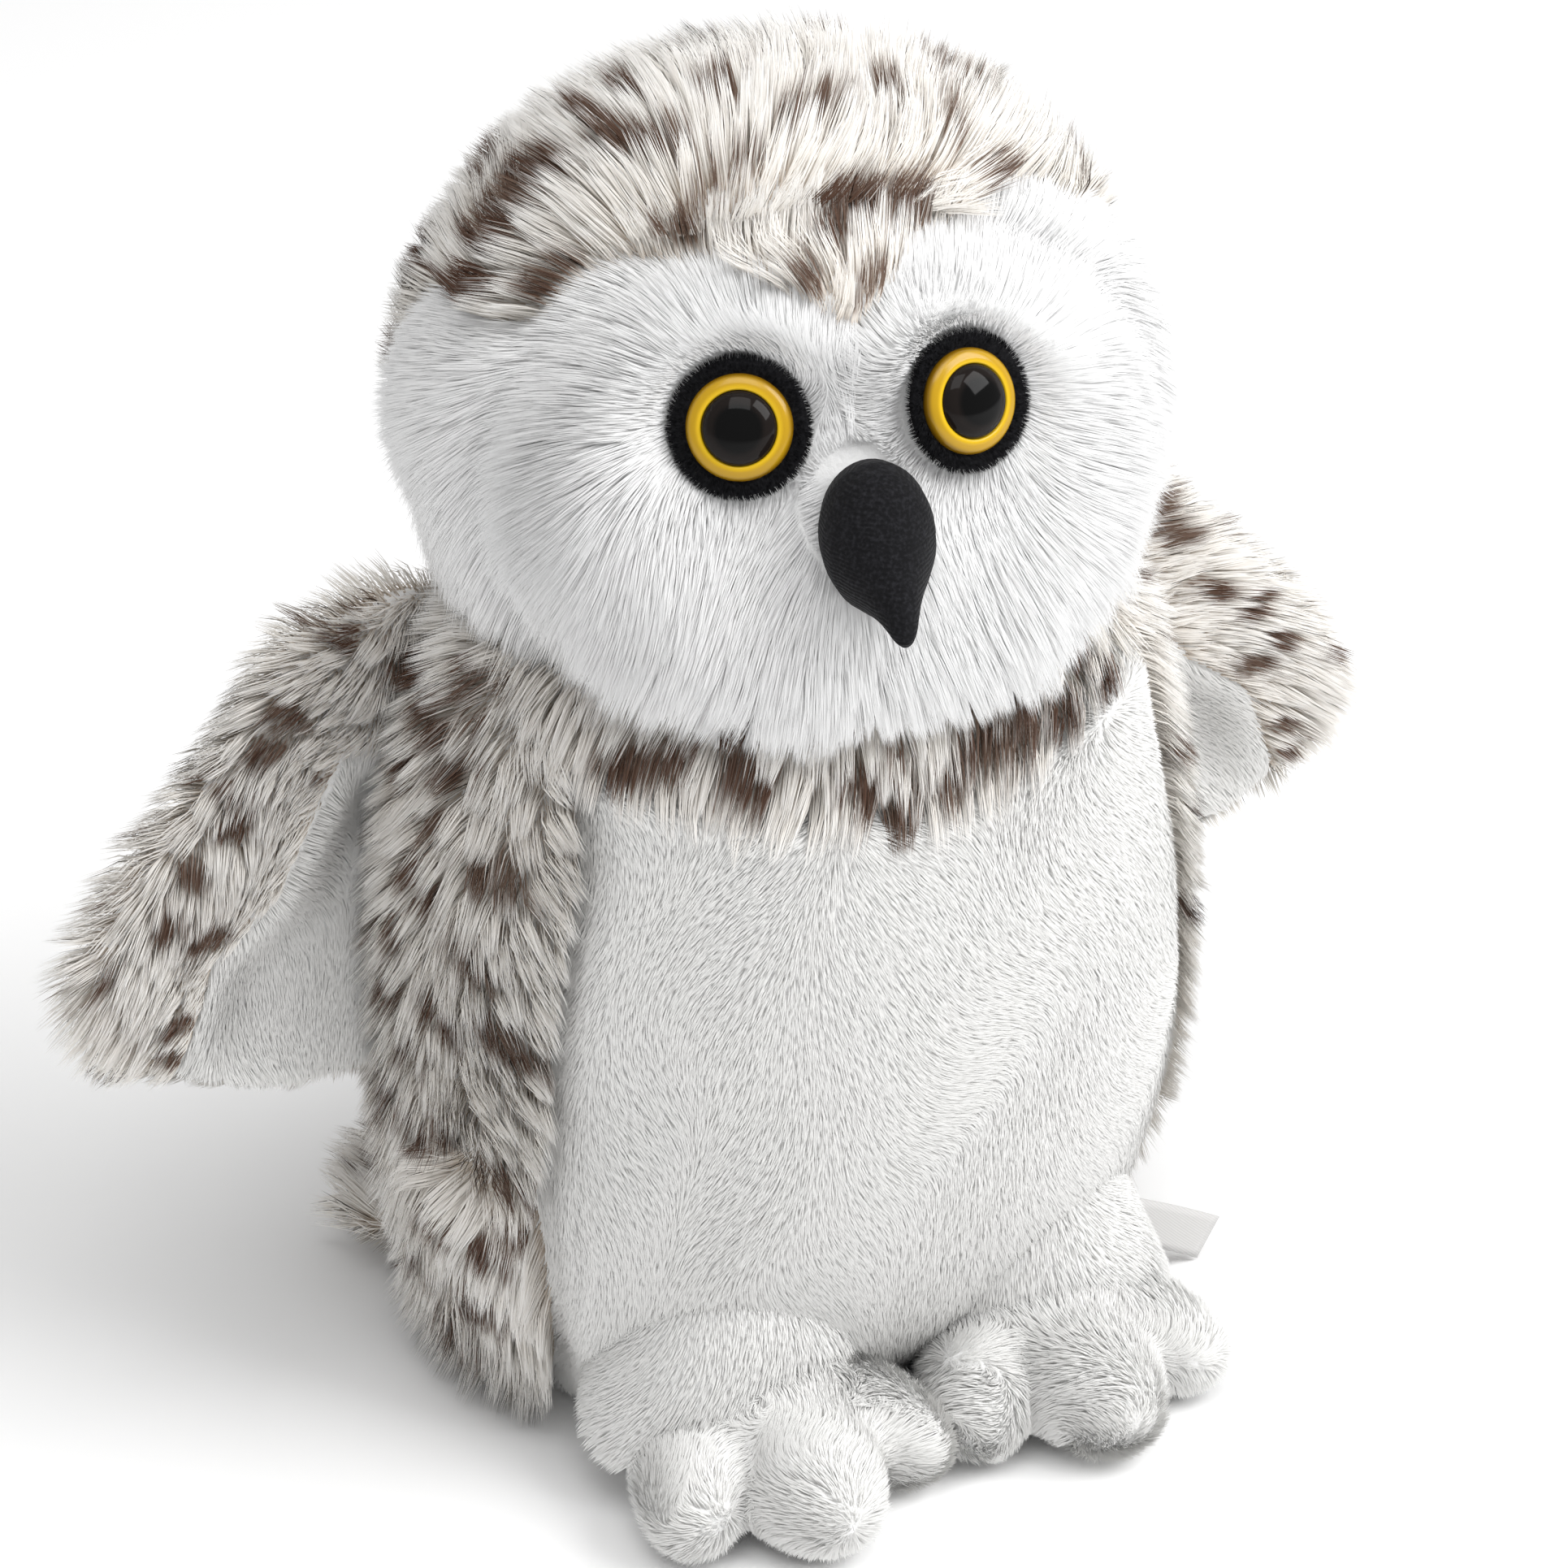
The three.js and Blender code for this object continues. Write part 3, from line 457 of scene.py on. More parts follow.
# %% [markdown]
# The dark spots are short bars that lie across the fur. Each is a place on the outside of the toy
# with a length, a width and a direction, and the dye takes the tips that reach it. The edge is
# ragged, because whether a tip near the edge takes the dye is left to chance.


# %% Helper for the spots
THROUGH_PILE = 0.85  # how much of the height over the cloth a spot overlooks


def spots_on(places, bars, half_long, half_wide, seed):
    """Returns a rule that says how much dye each strand's tip takes."""
    places, bars = np.array(places), unit(np.array(bars))
    rng = np.random.default_rng(seed)
    size = rng.uniform(0.75, 1.25, (len(places), 1, 1))

    def dye(tips, out, chance):
        offset = tips[None] - places[:, None]
        offset -= THROUGH_PILE * (offset * out[None]).sum(2, keepdims=True) * out[None]
        lengthways = (offset * bars[:, None]).sum(2)
        across = np.linalg.norm(offset - lengthways[..., None] * bars[:, None], axis=2)
        far = np.hypot(lengthways / (half_long * size[..., 0]), across / (half_wide * size[..., 0]))
        return np.clip((1.2 - far.min(0)) * 3 + chance.uniform(-0.9, 0.5, len(tips)), 0, 1)

    return dye


# %% [markdown]
# Each eye looks along its own axis, a little outwards and up. The head cloth needs it too, since
# the felt disc behind the eye presses the cloth flat.

# %% Eye axis
EYE_SPLAY, EYE_TILT = math.radians(18), math.radians(20)
PATCH_TOP = 1.5 * MM


def eye_axis(side):
    """The frame of one eye: its origin on the drawn-in fur and its Z along the look."""
    ratio = (EYE_ACROSS / HEAD_HALF.x) ** 2 + (EYE_UP / HEAD_HALF.z) ** 2
    at = Vector((side * EYE_ACROSS, -HEAD_HALF.y * math.sqrt(1 - ratio) + SOCKET, EYE_UP))
    look = Matrix.Rotation(-EYE_TILT, 3, "X") @ Vector((0, -1, 0))
    look = Matrix.Rotation(side * EYE_SPLAY, 3, "Z") @ look
    turn = look.to_track_quat("Z", "Y").to_matrix().to_4x4()
    return HEAD @ Matrix.Translation(at) @ turn


# %% [markdown]
# The head cloth is a ball drawn in at the eyes, with a groove round the two face discs and a puff
# inside it. It is one closed skin under all the face and crown fur; the seams show only as a
# change of fur, as on the real toy.


# %% Head skin
CHEEK_BACK, CHEEK_ROUNDING, EAR_UP, CHEEK_REACH = 14 * MM, 13 * MM, -6 * MM, 36 * MM
DISC_HALF, DISC_DROP = (54 * MM, 42 * MM), 1 * MM
GROOVE, GROOVE_AT, GROOVE_WIDE, PUFF = 5 * MM, 1.06, 0.09, 4.5 * MM
EYE_SINK, EYE_SINK_REACH = 1.5 * MM, 17 * MM
PEAK, BROW, TEMPLE = 35 * MM, 47 * MM, 33 * MM
BROW_SEAM_ACROSS = np.array([0, 14, 27, 37, 44, 52, 62, 90]) * MM
BROW_SEAM_UP = np.array([PEAK, PEAK + 8 * MM, BROW, BROW - 0.5 * MM, BROW - 4 * MM,
                         TEMPLE + 2.5 * MM, TEMPLE - 2 * MM, TEMPLE - 6 * MM])
BROW_TILT = 0.05


def brow_line(across):
    """Height of the seam over the brow, a little higher on the owl's left."""
    return np.interp(np.abs(across), BROW_SEAM_ACROSS, BROW_SEAM_UP) + BROW_TILT * across


def cheek_back(up):
    """How far back the white of the cheek reaches at a height: most at ear level."""
    return CHEEK_BACK - CHEEK_ROUNDING * ((up - EAR_UP) / CHEEK_REACH) ** 2


def head_place(point, sink):
    """Where a point of the unit ball lies, sink deep under the outside of the head."""
    half = HEAD_HALF - Vector((sink, sink, sink))
    low = min(max(-1.25 * point.z, 0), 1)
    deep = half.y + (half.x - HEAD_BELOW_TRIM - half.y) * low
    placed = Vector((point.x * half.x, point.y * deep, point.z * half.z))
    if point.y < 0:
        for side in (-1, 1):
            away = math.hypot(placed.x - side * EYE_ACROSS, placed.z - EYE_UP) / SOCKET_REACH
            placed.y += SOCKET * math.exp(-away * away)
        rim = math.hypot(placed.x / DISC_HALF[0], (placed.z + DISC_DROP) / DISC_HALF[1])
        groove = GROOVE * math.exp(-(((rim - GROOVE_AT) / GROOVE_WIDE) ** 2))
        puff = PUFF * float(rise(1 - rim, 0, 0.16) * rise(rim, 0.35, 0.4))
        placed.y += (groove - puff) * min(1, -2 * point.y)
    return placed


def head_sink(point):
    """How deep the cloth lies: less under the short fur of the face, and least at the eyes."""
    spot = head_place(point, 0)
    brow, seam = float(brow_line(spot.x)), 8 * MM
    face = rise(brow - spot.z, 0, seam) * rise(cheek_back(spot.z) - spot.y, 0, seam)
    away = min(math.hypot(spot.x - side * EYE_ACROSS, spot.z - EYE_UP) for side in (-1, 1))
    eye = math.exp(-((away / EYE_SINK_REACH) ** 2)) if point.y < 0 else 0
    return CROWN_SINK + (FACE_SINK - CROWN_SINK) * float(face) - EYE_SINK * eye


DISC_DEPTH, DISC_CLEAR, DISC_SLOPE = 0.8 * MM, 11.6 * MM, 0.9
EYE_FRAMES = [eye_axis(side) for side in (-1, 1)]


def pressed_by_discs(spot):
    """Pushes a place on the head cloth back to where the felt disc of an eye lets it be."""
    for frame_of_eye in EYE_FRAMES:
        seen = frame_of_eye.inverted() @ spot
        limit = max(0, math.hypot(seen.x, seen.y) - DISC_CLEAR) * DISC_SLOPE - DISC_DEPTH
        if math.hypot(seen.x, seen.y) < 2 * DISC_CLEAR and seen.z > limit:
            seen.z = limit
            spot = frame_of_eye @ seen
    return spot


head_skin = keep(
    ball(128, 96, lambda p: pressed_by_discs(HEAD @ head_place(p, head_sink(p)))),
    "head_skin", "head", WHITE_GROUND,
)
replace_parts(head_skin, "head_stuffing")
print("head skin", len(head_skin.data.polygons), "faces")

# %% [markdown]
# The seams between crown, cheeks and face discs are outlines seen from the front. A root belongs
# to the face where it lies inside the face outline and in front of the cheek's back edge.

# %% Where the head's furs meet
CHIN, CROWN_SHARE = -44 * MM, 0.455


def disc_rim(own):
    """How far out each place is on the face discs, whose edge is at 1."""
    return np.hypot(own[:, 0] / DISC_HALF[0], (own[:, 2] + DISC_DROP) / DISC_HALF[1])


def head_regions(own):
    """Crown, cheeks and face discs, told apart where the root would be on the outside."""
    outside = own / np.linalg.norm(own / np.array(HEAD_HALF), axis=1, keepdims=True)
    x, y, z = outside.T
    face = (z < brow_line(x)) & (y < cheek_back(z))
    disc = face & (y < 0) & (disc_rim(outside) < 1)
    return ~face, face & ~disc, disc


FROM_WORLD = np.array(HEAD.to_3x3())
TO_WORLD = FROM_WORLD.T
head_at, head_out = roots(head_skin, HEAD_ROOTS, 11)
own_at = (head_at - np.array(NECK)) @ FROM_WORLD
crown, cheek, disc = head_regions(own_at)
shown = own_at[:, 2] > CHIN
crown &= shown & (np.random.default_rng(14).uniform(size=len(head_at)) < CROWN_SHARE)
cheek &= shown
print("roots on crown, cheeks, discs:", crown.sum(), cheek.sum(), disc.sum())


# %% [markdown]
# The crown fur is long and cream. It is combed up and back from the bridge of the beak and stands
# nearly upright, so its outline is shaggy. The bars over the brow are placed as the toy shows
# them; the ones behind follow the same spacing, since the photograph doesn't show them.

# %% Crown pile
CROWN_BARS = [  # turn from the front to the owl's left, height above the ear line, bar's slant
    (-76, 80, 70), (-60, 67, 50), (-31, 64, 45), (-40, 53, 60), (-37, 58, 50), (11, 60, 5),
    (24, 58, 0), (0, 57, 20), (8, 78, 0), (63, 76, 20), (52, 52, 50), (-11, 45, 70), (4, 44, 65),
    (-85, 39, 0), (-81, 31, 0), (-88, 51, 30), (-99, 60, 20), (-62, 38, 60), (-86, 45, 20),
    (64, 65, 30), (52, 60, 50), (-76, 62, 40), (-110, 66, 20), (95, 60, 20), (85, 42, 20),
]


COMBED_FROM = np.array([0, -60 * MM, 26 * MM])


def head_spot(turn, up, slant):
    """The middle of one bar on the outside of the head, and the way that the bar lies."""
    way = way_to(turn, up)
    turn, slant = math.radians(turn), math.radians(slant)
    place = Vector(way[i] * (HEAD_HALF[i] + 1 * MM) for i in range(3))
    across = Vector((math.cos(turn), math.sin(turn), 0))
    bar = across * math.cos(slant) + way.cross(across) * math.sin(slant)
    return HEAD @ place, HEAD.to_3x3() @ bar


def back_of_head():
    """Rows of bars over the back of the head, each row offset from the one above it."""
    for row, up in enumerate((64, 44, 24, 4, -16, -36)):
        step = 22 / math.cos(math.radians(up))
        for k in range(int(200 / step)):
            turn = 105 + (k + row % 2 / 2) * step
            yield turn, up + 5 * math.sin(7 * k + row), 12 * math.sin(5 * k)


crown_spots = [head_spot(*bar) for bar in (*CROWN_BARS, *back_of_head())]


def crown_pile():
    at, out, own = head_at[crown], head_out[crown], own_at[crown]
    from_bridge = (own - COMBED_FROM) @ TO_WORLD
    comb = along_cloth(along_cloth(from_bridge, out) + 0.7 * wander(at, 12 * MM, 21), out)
    long = 12.5 * MM + 2 * MM * rise(own[:, 2], 30 * MM, 20 * MM)
    return spotted(
        "crown_pile", at, out, comb, long, "head", lean=(20, 52), cling=0.5,
        dye=spots_on(*zip(*crown_spots), 6.5 * MM, 3.3 * MM, 3), seed=22,
    )


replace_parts(crown_pile(), "crown_panel")

# %% [markdown]
# The face fur is white and combed outwards from the eyes and the bridge of the beak. The discs
# have the shorter pile, the cheeks the longer one, and under the beak it hangs down in locks. A few
# strands from the owl's right lie over the beak's root.

# %% Face pile
BRIDGE = np.array([0.0, -0.06, 0.008])
NEAR_EYE, ABOVE_EYE, ABOVE_EYE_BEND = 19 * MM, 13.5 * MM, 1.9
TEMPLE_ACROSS, TEMPLE_SPAN, TEMPLE_FALL = 38 * MM, 14 * MM, 0.7
CHIN_START, CHIN_SPAN, CHIN_FALL = -0.008, 0.03, 1.1
DISC_BARE = 11.3 * MM
BEAK_BARE, BEAK_UP, FACE_FRONT = (8.5, 9.5), 0.002, -0.03
LOCK_LONG, LOCK_SHORTER_AT_MIDDLE, LOCK_MIDDLE = 11, 6, 0.02
OVER_BEAK, OVER_LEAN, OVER_LONGER = np.array([[1.0, 0, 0.35]]), (22, 58), 3 * MM


def from_eyes(own):
    """For each root the nearer eye's side, and how far off that eye's middle it is."""
    side = np.sign(own[:, :1])
    off = own[:, [0, 2]] - np.hstack([side * EYE_ACROSS, 0 * side + EYE_UP])
    return side, off, np.linalg.norm(off, axis=1)


def face_comb(at, out, own):
    from_bridge = own - BRIDGE
    from_bridge[:, 2] *= np.where(from_bridge[:, 2] > 0, 0.4, 1.0)
    outwards = along_cloth(from_bridge @ TO_WORLD, out)
    side, off, away = from_eyes(own)
    by_eye = near(away, NEAR_EYE)[:, None]
    above = rise(off[:, 1], 3 * MM, 7 * MM) * near(away, ABOVE_EYE)
    spread = np.stack([off[:, 0], 0 * away, off[:, 1]], 1) * (1 - ABOVE_EYE_BEND * above[:, None])
    outwards = outwards * (1 - by_eye) + along_cloth(spread @ TO_WORLD, out) * by_eye * 1.3
    drop = rise(0.004 - own[:, 2], 0, CHIN_SPAN)[:, None]
    temple = rise(np.abs(own[:, :1]), TEMPLE_ACROSS, TEMPLE_SPAN) * TEMPLE_FALL
    down = along_cloth(DOWN, out)
    way = outwards + (drop * CHIN_FALL + temple) * down + 0.5 * wander(at, 14 * MM, 31)
    return along_cloth(way, out)


def face_pile(name, chosen, long, lean, clump, cling, seed):
    at, out, own = head_at[chosen], head_out[chosen], own_at[chosen]
    eye_away = from_eyes(own)[2]
    beak_away = np.hypot(own[:, 0] / BEAK_BARE[0], (own[:, 2] - BEAK_UP) / BEAK_BARE[1]) / MM
    clear = (eye_away > DISC_BARE) & ((beak_away > 1) | (own[:, 1] > FACE_FRONT))
    at, out, own, eye_away, beak_away = (v[clear] for v in (at, out, own, eye_away, beak_away))
    low = rise(CHIN_START - own[:, 2], 0, CHIN_SPAN)
    beak_near = near(beak_away - 1, 0.4)
    lock = (LOCK_LONG - LOCK_SHORTER_AT_MIDDLE * near(own[:, 0], LOCK_MIDDLE)) * MM * low
    length = long * (0.4 + 0.6 * rise(eye_away, 9 * MM, 20 * MM)) + lock
    # The fur is shorter just outside the discs' edge and more upright just inside it.
    rim = disc_rim(own)
    length *= 1 - 0.4 * near(rim - 1, 0.15) * (rim > 1) * (1 - low)
    stand = near(rim - 0.9, 0.09) * (rim < 1) * (1 - low)
    length *= 0.55 + 0.45 * rise(brow_line(own[:, 0]) - own[:, 2], 0, 16 * MM)
    length *= 1 - 0.35 * beak_near
    fluff = 6 * wander(at, 7 * MM, 35)[:, 0]
    comb = face_comb(at, out, own)
    over = (beak_away < 1.3) & (own[:, 0] < -2 * MM) & (np.abs(own[:, 2] + 1 * MM) < 7 * MM)
    comb[over] = along_cloth(OVER_BEAK, out[over])
    length[over] += OVER_LONGER
    start = np.where(over, OVER_LEAN[0], lean[0] + fluff - 26 * stand)
    end = np.where(over, OVER_LEAN[1], lean[1] + fluff - 34 * stand)
    return grow(
        name, at, out, comb, length, "head", "long_white_fur", WHITE,
        lean=(start - 30 * beak_near * ~over, end - 38 * beak_near * ~over),
        clump=clump + 110 * low, cling=cling + 0.45 * low, wide=0.2, seed=seed, soft=0.96,
        twist=0.08,
    )


for name, side in SIDES:
    half = own_at[:, 0] * side > 0
    fur = face_pile(f"face_disc_pile_{name}", disc & half, 11 * MM, (60, 84), 40, 0.16, 32 + side)
    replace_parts(fur, f"face_disc_{name}")
    fur = face_pile(f"cheek_pile_{name}", cheek & half, 14 * MM, (56, 82), 50, 0.2, 42 + side)
    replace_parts(fur, f"cheek_panel_{name}")

# %% [markdown]
# The body cloth is a barrel with a flat base, and its top is pressed into a bowl that the head
# sits in. The belly is short plush, so its cloth lies nearer to the outside than the fur's cloth.

# %% Body skin
BELLY_EDGE_UP = np.array([4, 28, 64, 105, 140, 200]) * MM
BELLY_EDGE_ACROSS = np.array([53, 58.75, 64.5, 61.5, 55, 52]) * MM
RUFF_Z, RUFF_ARCH, RUFF_SHOULDER = 146 * MM, 6 * MM, 45 * MM
BOWL_DEEP = 6 * MM


def ruff_line(across):
    """Height of the collar's lower seam, which rises towards the shoulders."""
    return RUFF_Z + RUFF_ARCH * (np.abs(across) / RUFF_SHOULDER) ** 2


def body_place(point, sink):
    """Where a point of the unit ball lies, sink deep under the outside of the body."""
    half = BODY_HALF - Vector((sink, sink, sink))
    flat = math.hypot(point.x, point.y) or 1
    full = flat**BODY_FULLNESS / flat * (1 - BODY_TAPER * point.z)
    height = BODY_MIDDLE + point.z * half.z
    lean = BASE_SHIFT * max(0, 1 - height / BODY_MIDDLE) ** 2
    return Vector((point.x * full * half.x, point.y * full * half.y + lean + BODY_Y, height))


def body_skin_place(point):
    """The cloth steps out under the short belly plush, and the head's bowl is pressed into it."""
    outer = body_place(point, 0)
    edge = np.interp(outer.z, BELLY_EDGE_UP, BELLY_EDGE_ACROSS)
    short = 1 - rise(abs(outer.x) - edge, 1 * MM, 8 * MM) if point.y < 0 else 0
    short *= 1 - rise(outer.z - ruff_line(outer.x), -6 * MM, 10 * MM)
    placed = body_place(point, LONG_SINK + (SHORT_SINK - LONG_SINK) * float(short))
    room = HEAD_HALF - Vector((BOWL_DEEP,) * 3)
    x, y = placed.x / room.x, (placed.y - NECK.y) / (room.x - HEAD_BELOW_TRIM)
    if x * x + y * y < 1:
        placed.z = min(placed.z, NECK.z - room.z * math.sqrt(1 - x * x - y * y))
    return placed


def flat_base(bm):
    everything = [*bm.verts, *bm.edges, *bm.faces]
    cut = bmesh.ops.bisect_plane(
        bm, geom=everything, plane_co=(0, 0, BASE_Z), plane_no=(0, 0, 1), clear_inner=True
    )
    rim = [part for part in cut["geom_cut"] if isinstance(part, bmesh.types.BMEdge)]
    bmesh.ops.contextual_create(bm, geom=rim)


barrel = ball(112, 96, body_skin_place)
flat_base(barrel)
body_skin = keep(barrel, "body_skin", "body", WHITE_GROUND)
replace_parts(body_skin, "body_stuffing", "base_panel")
body_at, body_out = roots(body_skin, BODY_ROOTS, 12)
print("roots on the body:", len(body_at))


# %% Where the body's furs meet
HIDDEN_UP, HIDDEN_ACROSS, LONG_SHARE = 14 * MM, 50 * MM, 0.48


def inside_body(at, deep):
    """True for places more than deep inside the outside of the body."""
    level = np.clip((at[:, 2] - BODY_MIDDLE) / BODY_HALF.z, -1, 1)
    full = (1 - level**2) ** (BODY_FULLNESS / 2) * (1 - BODY_TAPER * level)
    x, y = at[:, 0] / (BODY_HALF.x * full - deep), (at[:, 1] - BODY_Y) / (BODY_HALF.y * full - deep)
    return (full > 0.2) & (np.hypot(x, y) < 1)


def under_head(at):
    room = np.array(HEAD_HALF) - 4 * MM
    return np.linalg.norm((at - np.array(NECK)) / room, axis=1) < 1.0


def body_regions(at):
    """Belly, collar and flanks, told apart by the seams as seen from the front."""
    x, y, z = at.T
    edge = np.interp(z, BELLY_EDGE_UP, BELLY_EDGE_ACROSS)
    front = (np.abs(x) < edge + 2.5 * MM) & (y < BODY_Y)
    ruff = front & (z > ruff_line(x))
    return front & ~ruff, ruff, ~front


low_front = (body_at[:, 2] < HIDDEN_UP) & (body_at[:, 1] < 0)
behind_feet = low_front & (np.abs(body_at[:, 0]) < HIDDEN_ACROSS)
standing = ~under_head(body_at) & (body_at[:, 2] > BASE_Z + 1 * MM) & ~behind_feet
belly, ruff, flank = (region & standing for region in body_regions(body_at))
long_share = np.random.default_rng(13).uniform(size=len(body_at)) < LONG_SHARE
ruff &= long_share
flank &= long_share
print("roots on belly, collar, flanks:", belly.sum(), ruff.sum(), flank.sum())

# %% [markdown]
# The belly plush is a little over 3 mm long and brushed down, with soft patches where it was
# stroked the other way.


# %% Belly pile
def plush(name, at, out, comb, body, long=3.3 * MM, lean=(50, 78), clump=14, cling=0.2, seed=50):
    return grow(name, at, out, comb, long, body, "short_white_plush", PLUSH, lean=lean,
                clump=clump, cling=cling, wide=0.25, soft=0.92, twist=0.1, seed=seed)


def brushed_down(at, out, stray, size, seed, sideways=0.0):
    """A comb that runs down, sideways from the middle and, for a share of stray, anywhere."""
    down = DOWN + np.array([[1.0, 0, 0]]) * np.sign(at[:, :1]) * sideways
    return along_cloth(along_cloth(down, out) + stray * wander(at, size, seed), out)


for name, side in SIDES:
    chosen = belly & (body_at[:, 0] * side > 0)
    at, out = body_at[chosen], body_out[chosen]
    comb = brushed_down(at, out, 0.75, 13 * MM, 51)
    belly_fur = plush(f"belly_pile_{name}", at, out, comb, "body", seed=52 + side)
    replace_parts(belly_fur, "belly_panel")

# %% [markdown]
# The flanks and the collar are the same spotted fur as the crown. On the owl's right flank the
# bars are placed as seen; the other flank and the back repeat the same spacing.

# %% Flank and collar pile
FLANK_BARS = [  # turn from the front to the owl's left, and height in mm
    (-92, 149), (-81, 155), (-86, 161), (-75, 163), (-73, 147), (-60, 129), (-67, 128), (-71, 112),
    (-64, 109), (-58, 98), (-74, 97), (-82, 85), (-71, 73), (-78, 66), (-64, 71), (-60, 66),
    (-60, 53), (-66, 45), (-88, 71), (-78, 46), (-92, 94), (-90, 106), (-83, 120), (-89, 120),
    (-75, 15), (-78, 141), (-81, 131), (-69, 28), (-84, 30),
]
COLLAR_BARS = [
    (-47, 152), (-42, 154), (-28, 149), (-20, 161), (-12, 146), (-8, 140), (-6, 151), (7, 148),
    (12, 147), (14, 154), (22, 148), (34, 149), (1, 143), (-33, 158), (28, 158),
]


def body_spot(turn, height):
    """The middle of one bar on the outside of the body, and the way that the bar lies."""
    turn = math.radians(turn)
    level = (height * MM - BODY_MIDDLE) / BODY_HALF.z
    flat = math.sqrt(max(0.02, 1 - level * level))
    place = body_place(Vector((math.sin(turn) * flat, -math.cos(turn) * flat, level)), -1.5 * MM)
    return place, Vector((math.cos(turn), math.sin(turn), -0.25))


def back_rows():
    """Rows of bars round the back and the owl's left flank."""
    for row in range(9):
        height = 16 + 17.5 * row
        for k in range(10):
            turn = 62 + 21 * (k + row % 2 / 2) + 4 * math.sin(9 * k + row)
            yield turn, height + 3 * math.sin(4 * k)


flank_spots = [body_spot(*bar) for bar in (*FLANK_BARS, *back_rows())]
collar_spots = [body_spot(*bar) for bar in COLLAR_BARS]


def flank_comb(at, out):
    """Down, and on the flanks also forward, towards the belly."""
    turn = np.arctan2(at[:, 0], -(at[:, 1] - BODY_Y))
    forward = np.stack([-np.cos(turn), -np.sin(turn), 0 * turn], 1) * np.sign(turn)[:, None]
    to_belly = (1 - rise(np.abs(turn), 1.2, 0.7))[:, None]
    way = DOWN * 0.9 + forward * to_belly * 0.5 + 0.6 * wander(at, 17 * MM, 61)
    return along_cloth(way, out)


for name, side in SIDES:
    chosen = flank & (body_at[:, 0] * side > 0)
    at, out = body_at[chosen], body_out[chosen]
    low = 1 - rise(at[:, 2], 10 * MM, 26 * MM)  # near the floor the fur is longer and more upright
    fur = spotted(
        f"back_pile_{name}", at, out, flank_comb(at, out), 13.5 * MM + 4 * MM * low, "body",
        lean=(26 - 16 * low, 64 - 44 * low),
        dye=spots_on(*zip(*flank_spots), 7.5 * MM, 3 * MM, 5), seed=62 + side,
    )
    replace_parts(fur, f"back_panel_{name}")

at, out = body_at[ruff], body_out[ruff]
collar_long = 17 * MM - 2 * MM * rise(np.abs(at[:, 0]), 22 * MM, 20 * MM)
collar_fur = spotted(
    "neck_ruff_pile", at, out, brushed_down(at, out, 0.5, 12 * MM, 71), collar_long, "body",
    lean=(42, 80), dye=spots_on(*zip(*collar_spots), 5.5 * MM, 4 * MM, 7), seed=72,
)
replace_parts(collar_fur, "neck_ruff")

# %% [markdown]
# A wing is a flat pad sewn to the side of the body. Spotted fur covers its back and folds over
# the front edge as a padded roll; inside the roll the white lining is hollow, which gives the
# wing its cupped front.

# %% Wing sizes
WING_OUTLINE = np.array([
    (48, 160), (82, 166), (99, 152), (122, 131), (139, 107), (140, 96),
    (128, 82), (105, 71), (82, 70), (48, 74),
]) * MM
LINING_OUTLINE = np.array([
    (0, 43), (126, 43), (123, 78), (112, 106), (98, 116), (82, 139), (0, 139),
]) * MM
WING_SEAM_BACK, WING_SWEEP, WING_MIDDLE_Z = 20 * MM, 0.17, 118 * MM


def wing_back(up):
    """How far back the wing's middle lies at a height."""
    return WING_SEAM_BACK + WING_SWEEP * (up - WING_MIDDLE_Z) + BODY_Y


def smooth_outline(points, count=400):
    """A closed smooth line through the points, as turns from the middle and lengths."""
    n = len(points)
    t = np.linspace(0, n, count, endpoint=False)
    k, f = t.astype(int), (t % 1)[:, None]
    p0, p1, p2, p3 = (points[(k + i) % n] for i in (-1, 0, 1, 2))
    line = 0.5 * (2 * p1 + (p2 - p0) * f + (2 * p0 - 5 * p1 + 4 * p2 - p3) * f**2
                  + (3 * p1 - p0 - 3 * p2 + p3) * f**3)
    middle = (points.min(0) + points.max(0)) / 2
    arm = line - middle
    turn = np.arctan2(arm[:, 1], arm[:, 0])
    order = np.argsort(turn)
    return middle, turn[order], np.linalg.norm(arm, axis=1)[order]


def edge_distance(points, outline):
    """Distance inside an outline, negative outside."""
    a, b = outline, np.roll(outline, -1, 0)
    run = b - a
    offset = points[:, None] - a
    part = np.clip((offset * run).sum(2) / (run * run).sum(1), 0, 1)
    far = np.linalg.norm(offset - part[..., None] * run, axis=2).min(1)
    x, y = points[:, :1], points[:, 1:]
    spans = (a[:, 1] > y) != (b[:, 1] > y)
    with np.errstate(divide="ignore", invalid="ignore"):
        meets = x < a[:, 0] + (y - a[:, 1]) * run[:, 0] / run[:, 1]
    inside = (spans & meets).sum(1) % 2 == 1
    return np.where(inside, far, -far)


def pad_place(outline, inset, swell):
    """A rule that lays a unit ball out as a pad: its rim on the outline, its middle swelling."""
    middle, turns, lengths = smooth_outline(outline)

    def place(point):
        flat = math.hypot(point.x, point.y)
        turn = math.atan2(point.y, point.x)
        reach = float(np.interp(turn, turns, lengths, period=2 * math.pi)) - inset
        x, y = middle[0] + flat * reach * math.cos(turn), middle[1] + flat * reach * math.sin(turn)
        return x, y, math.copysign(abs(point.z) ** 0.8, point.z) * swell

    return place


# %% Wing skins
WING_INSET, WING_SWELL, LINING_HOLLOW, LINING_SLOPE = 6 * MM, 6 * MM, 8 * MM, 14 * MM
wing_pad = pad_place(WING_OUTLINE, WING_INSET, WING_SWELL)


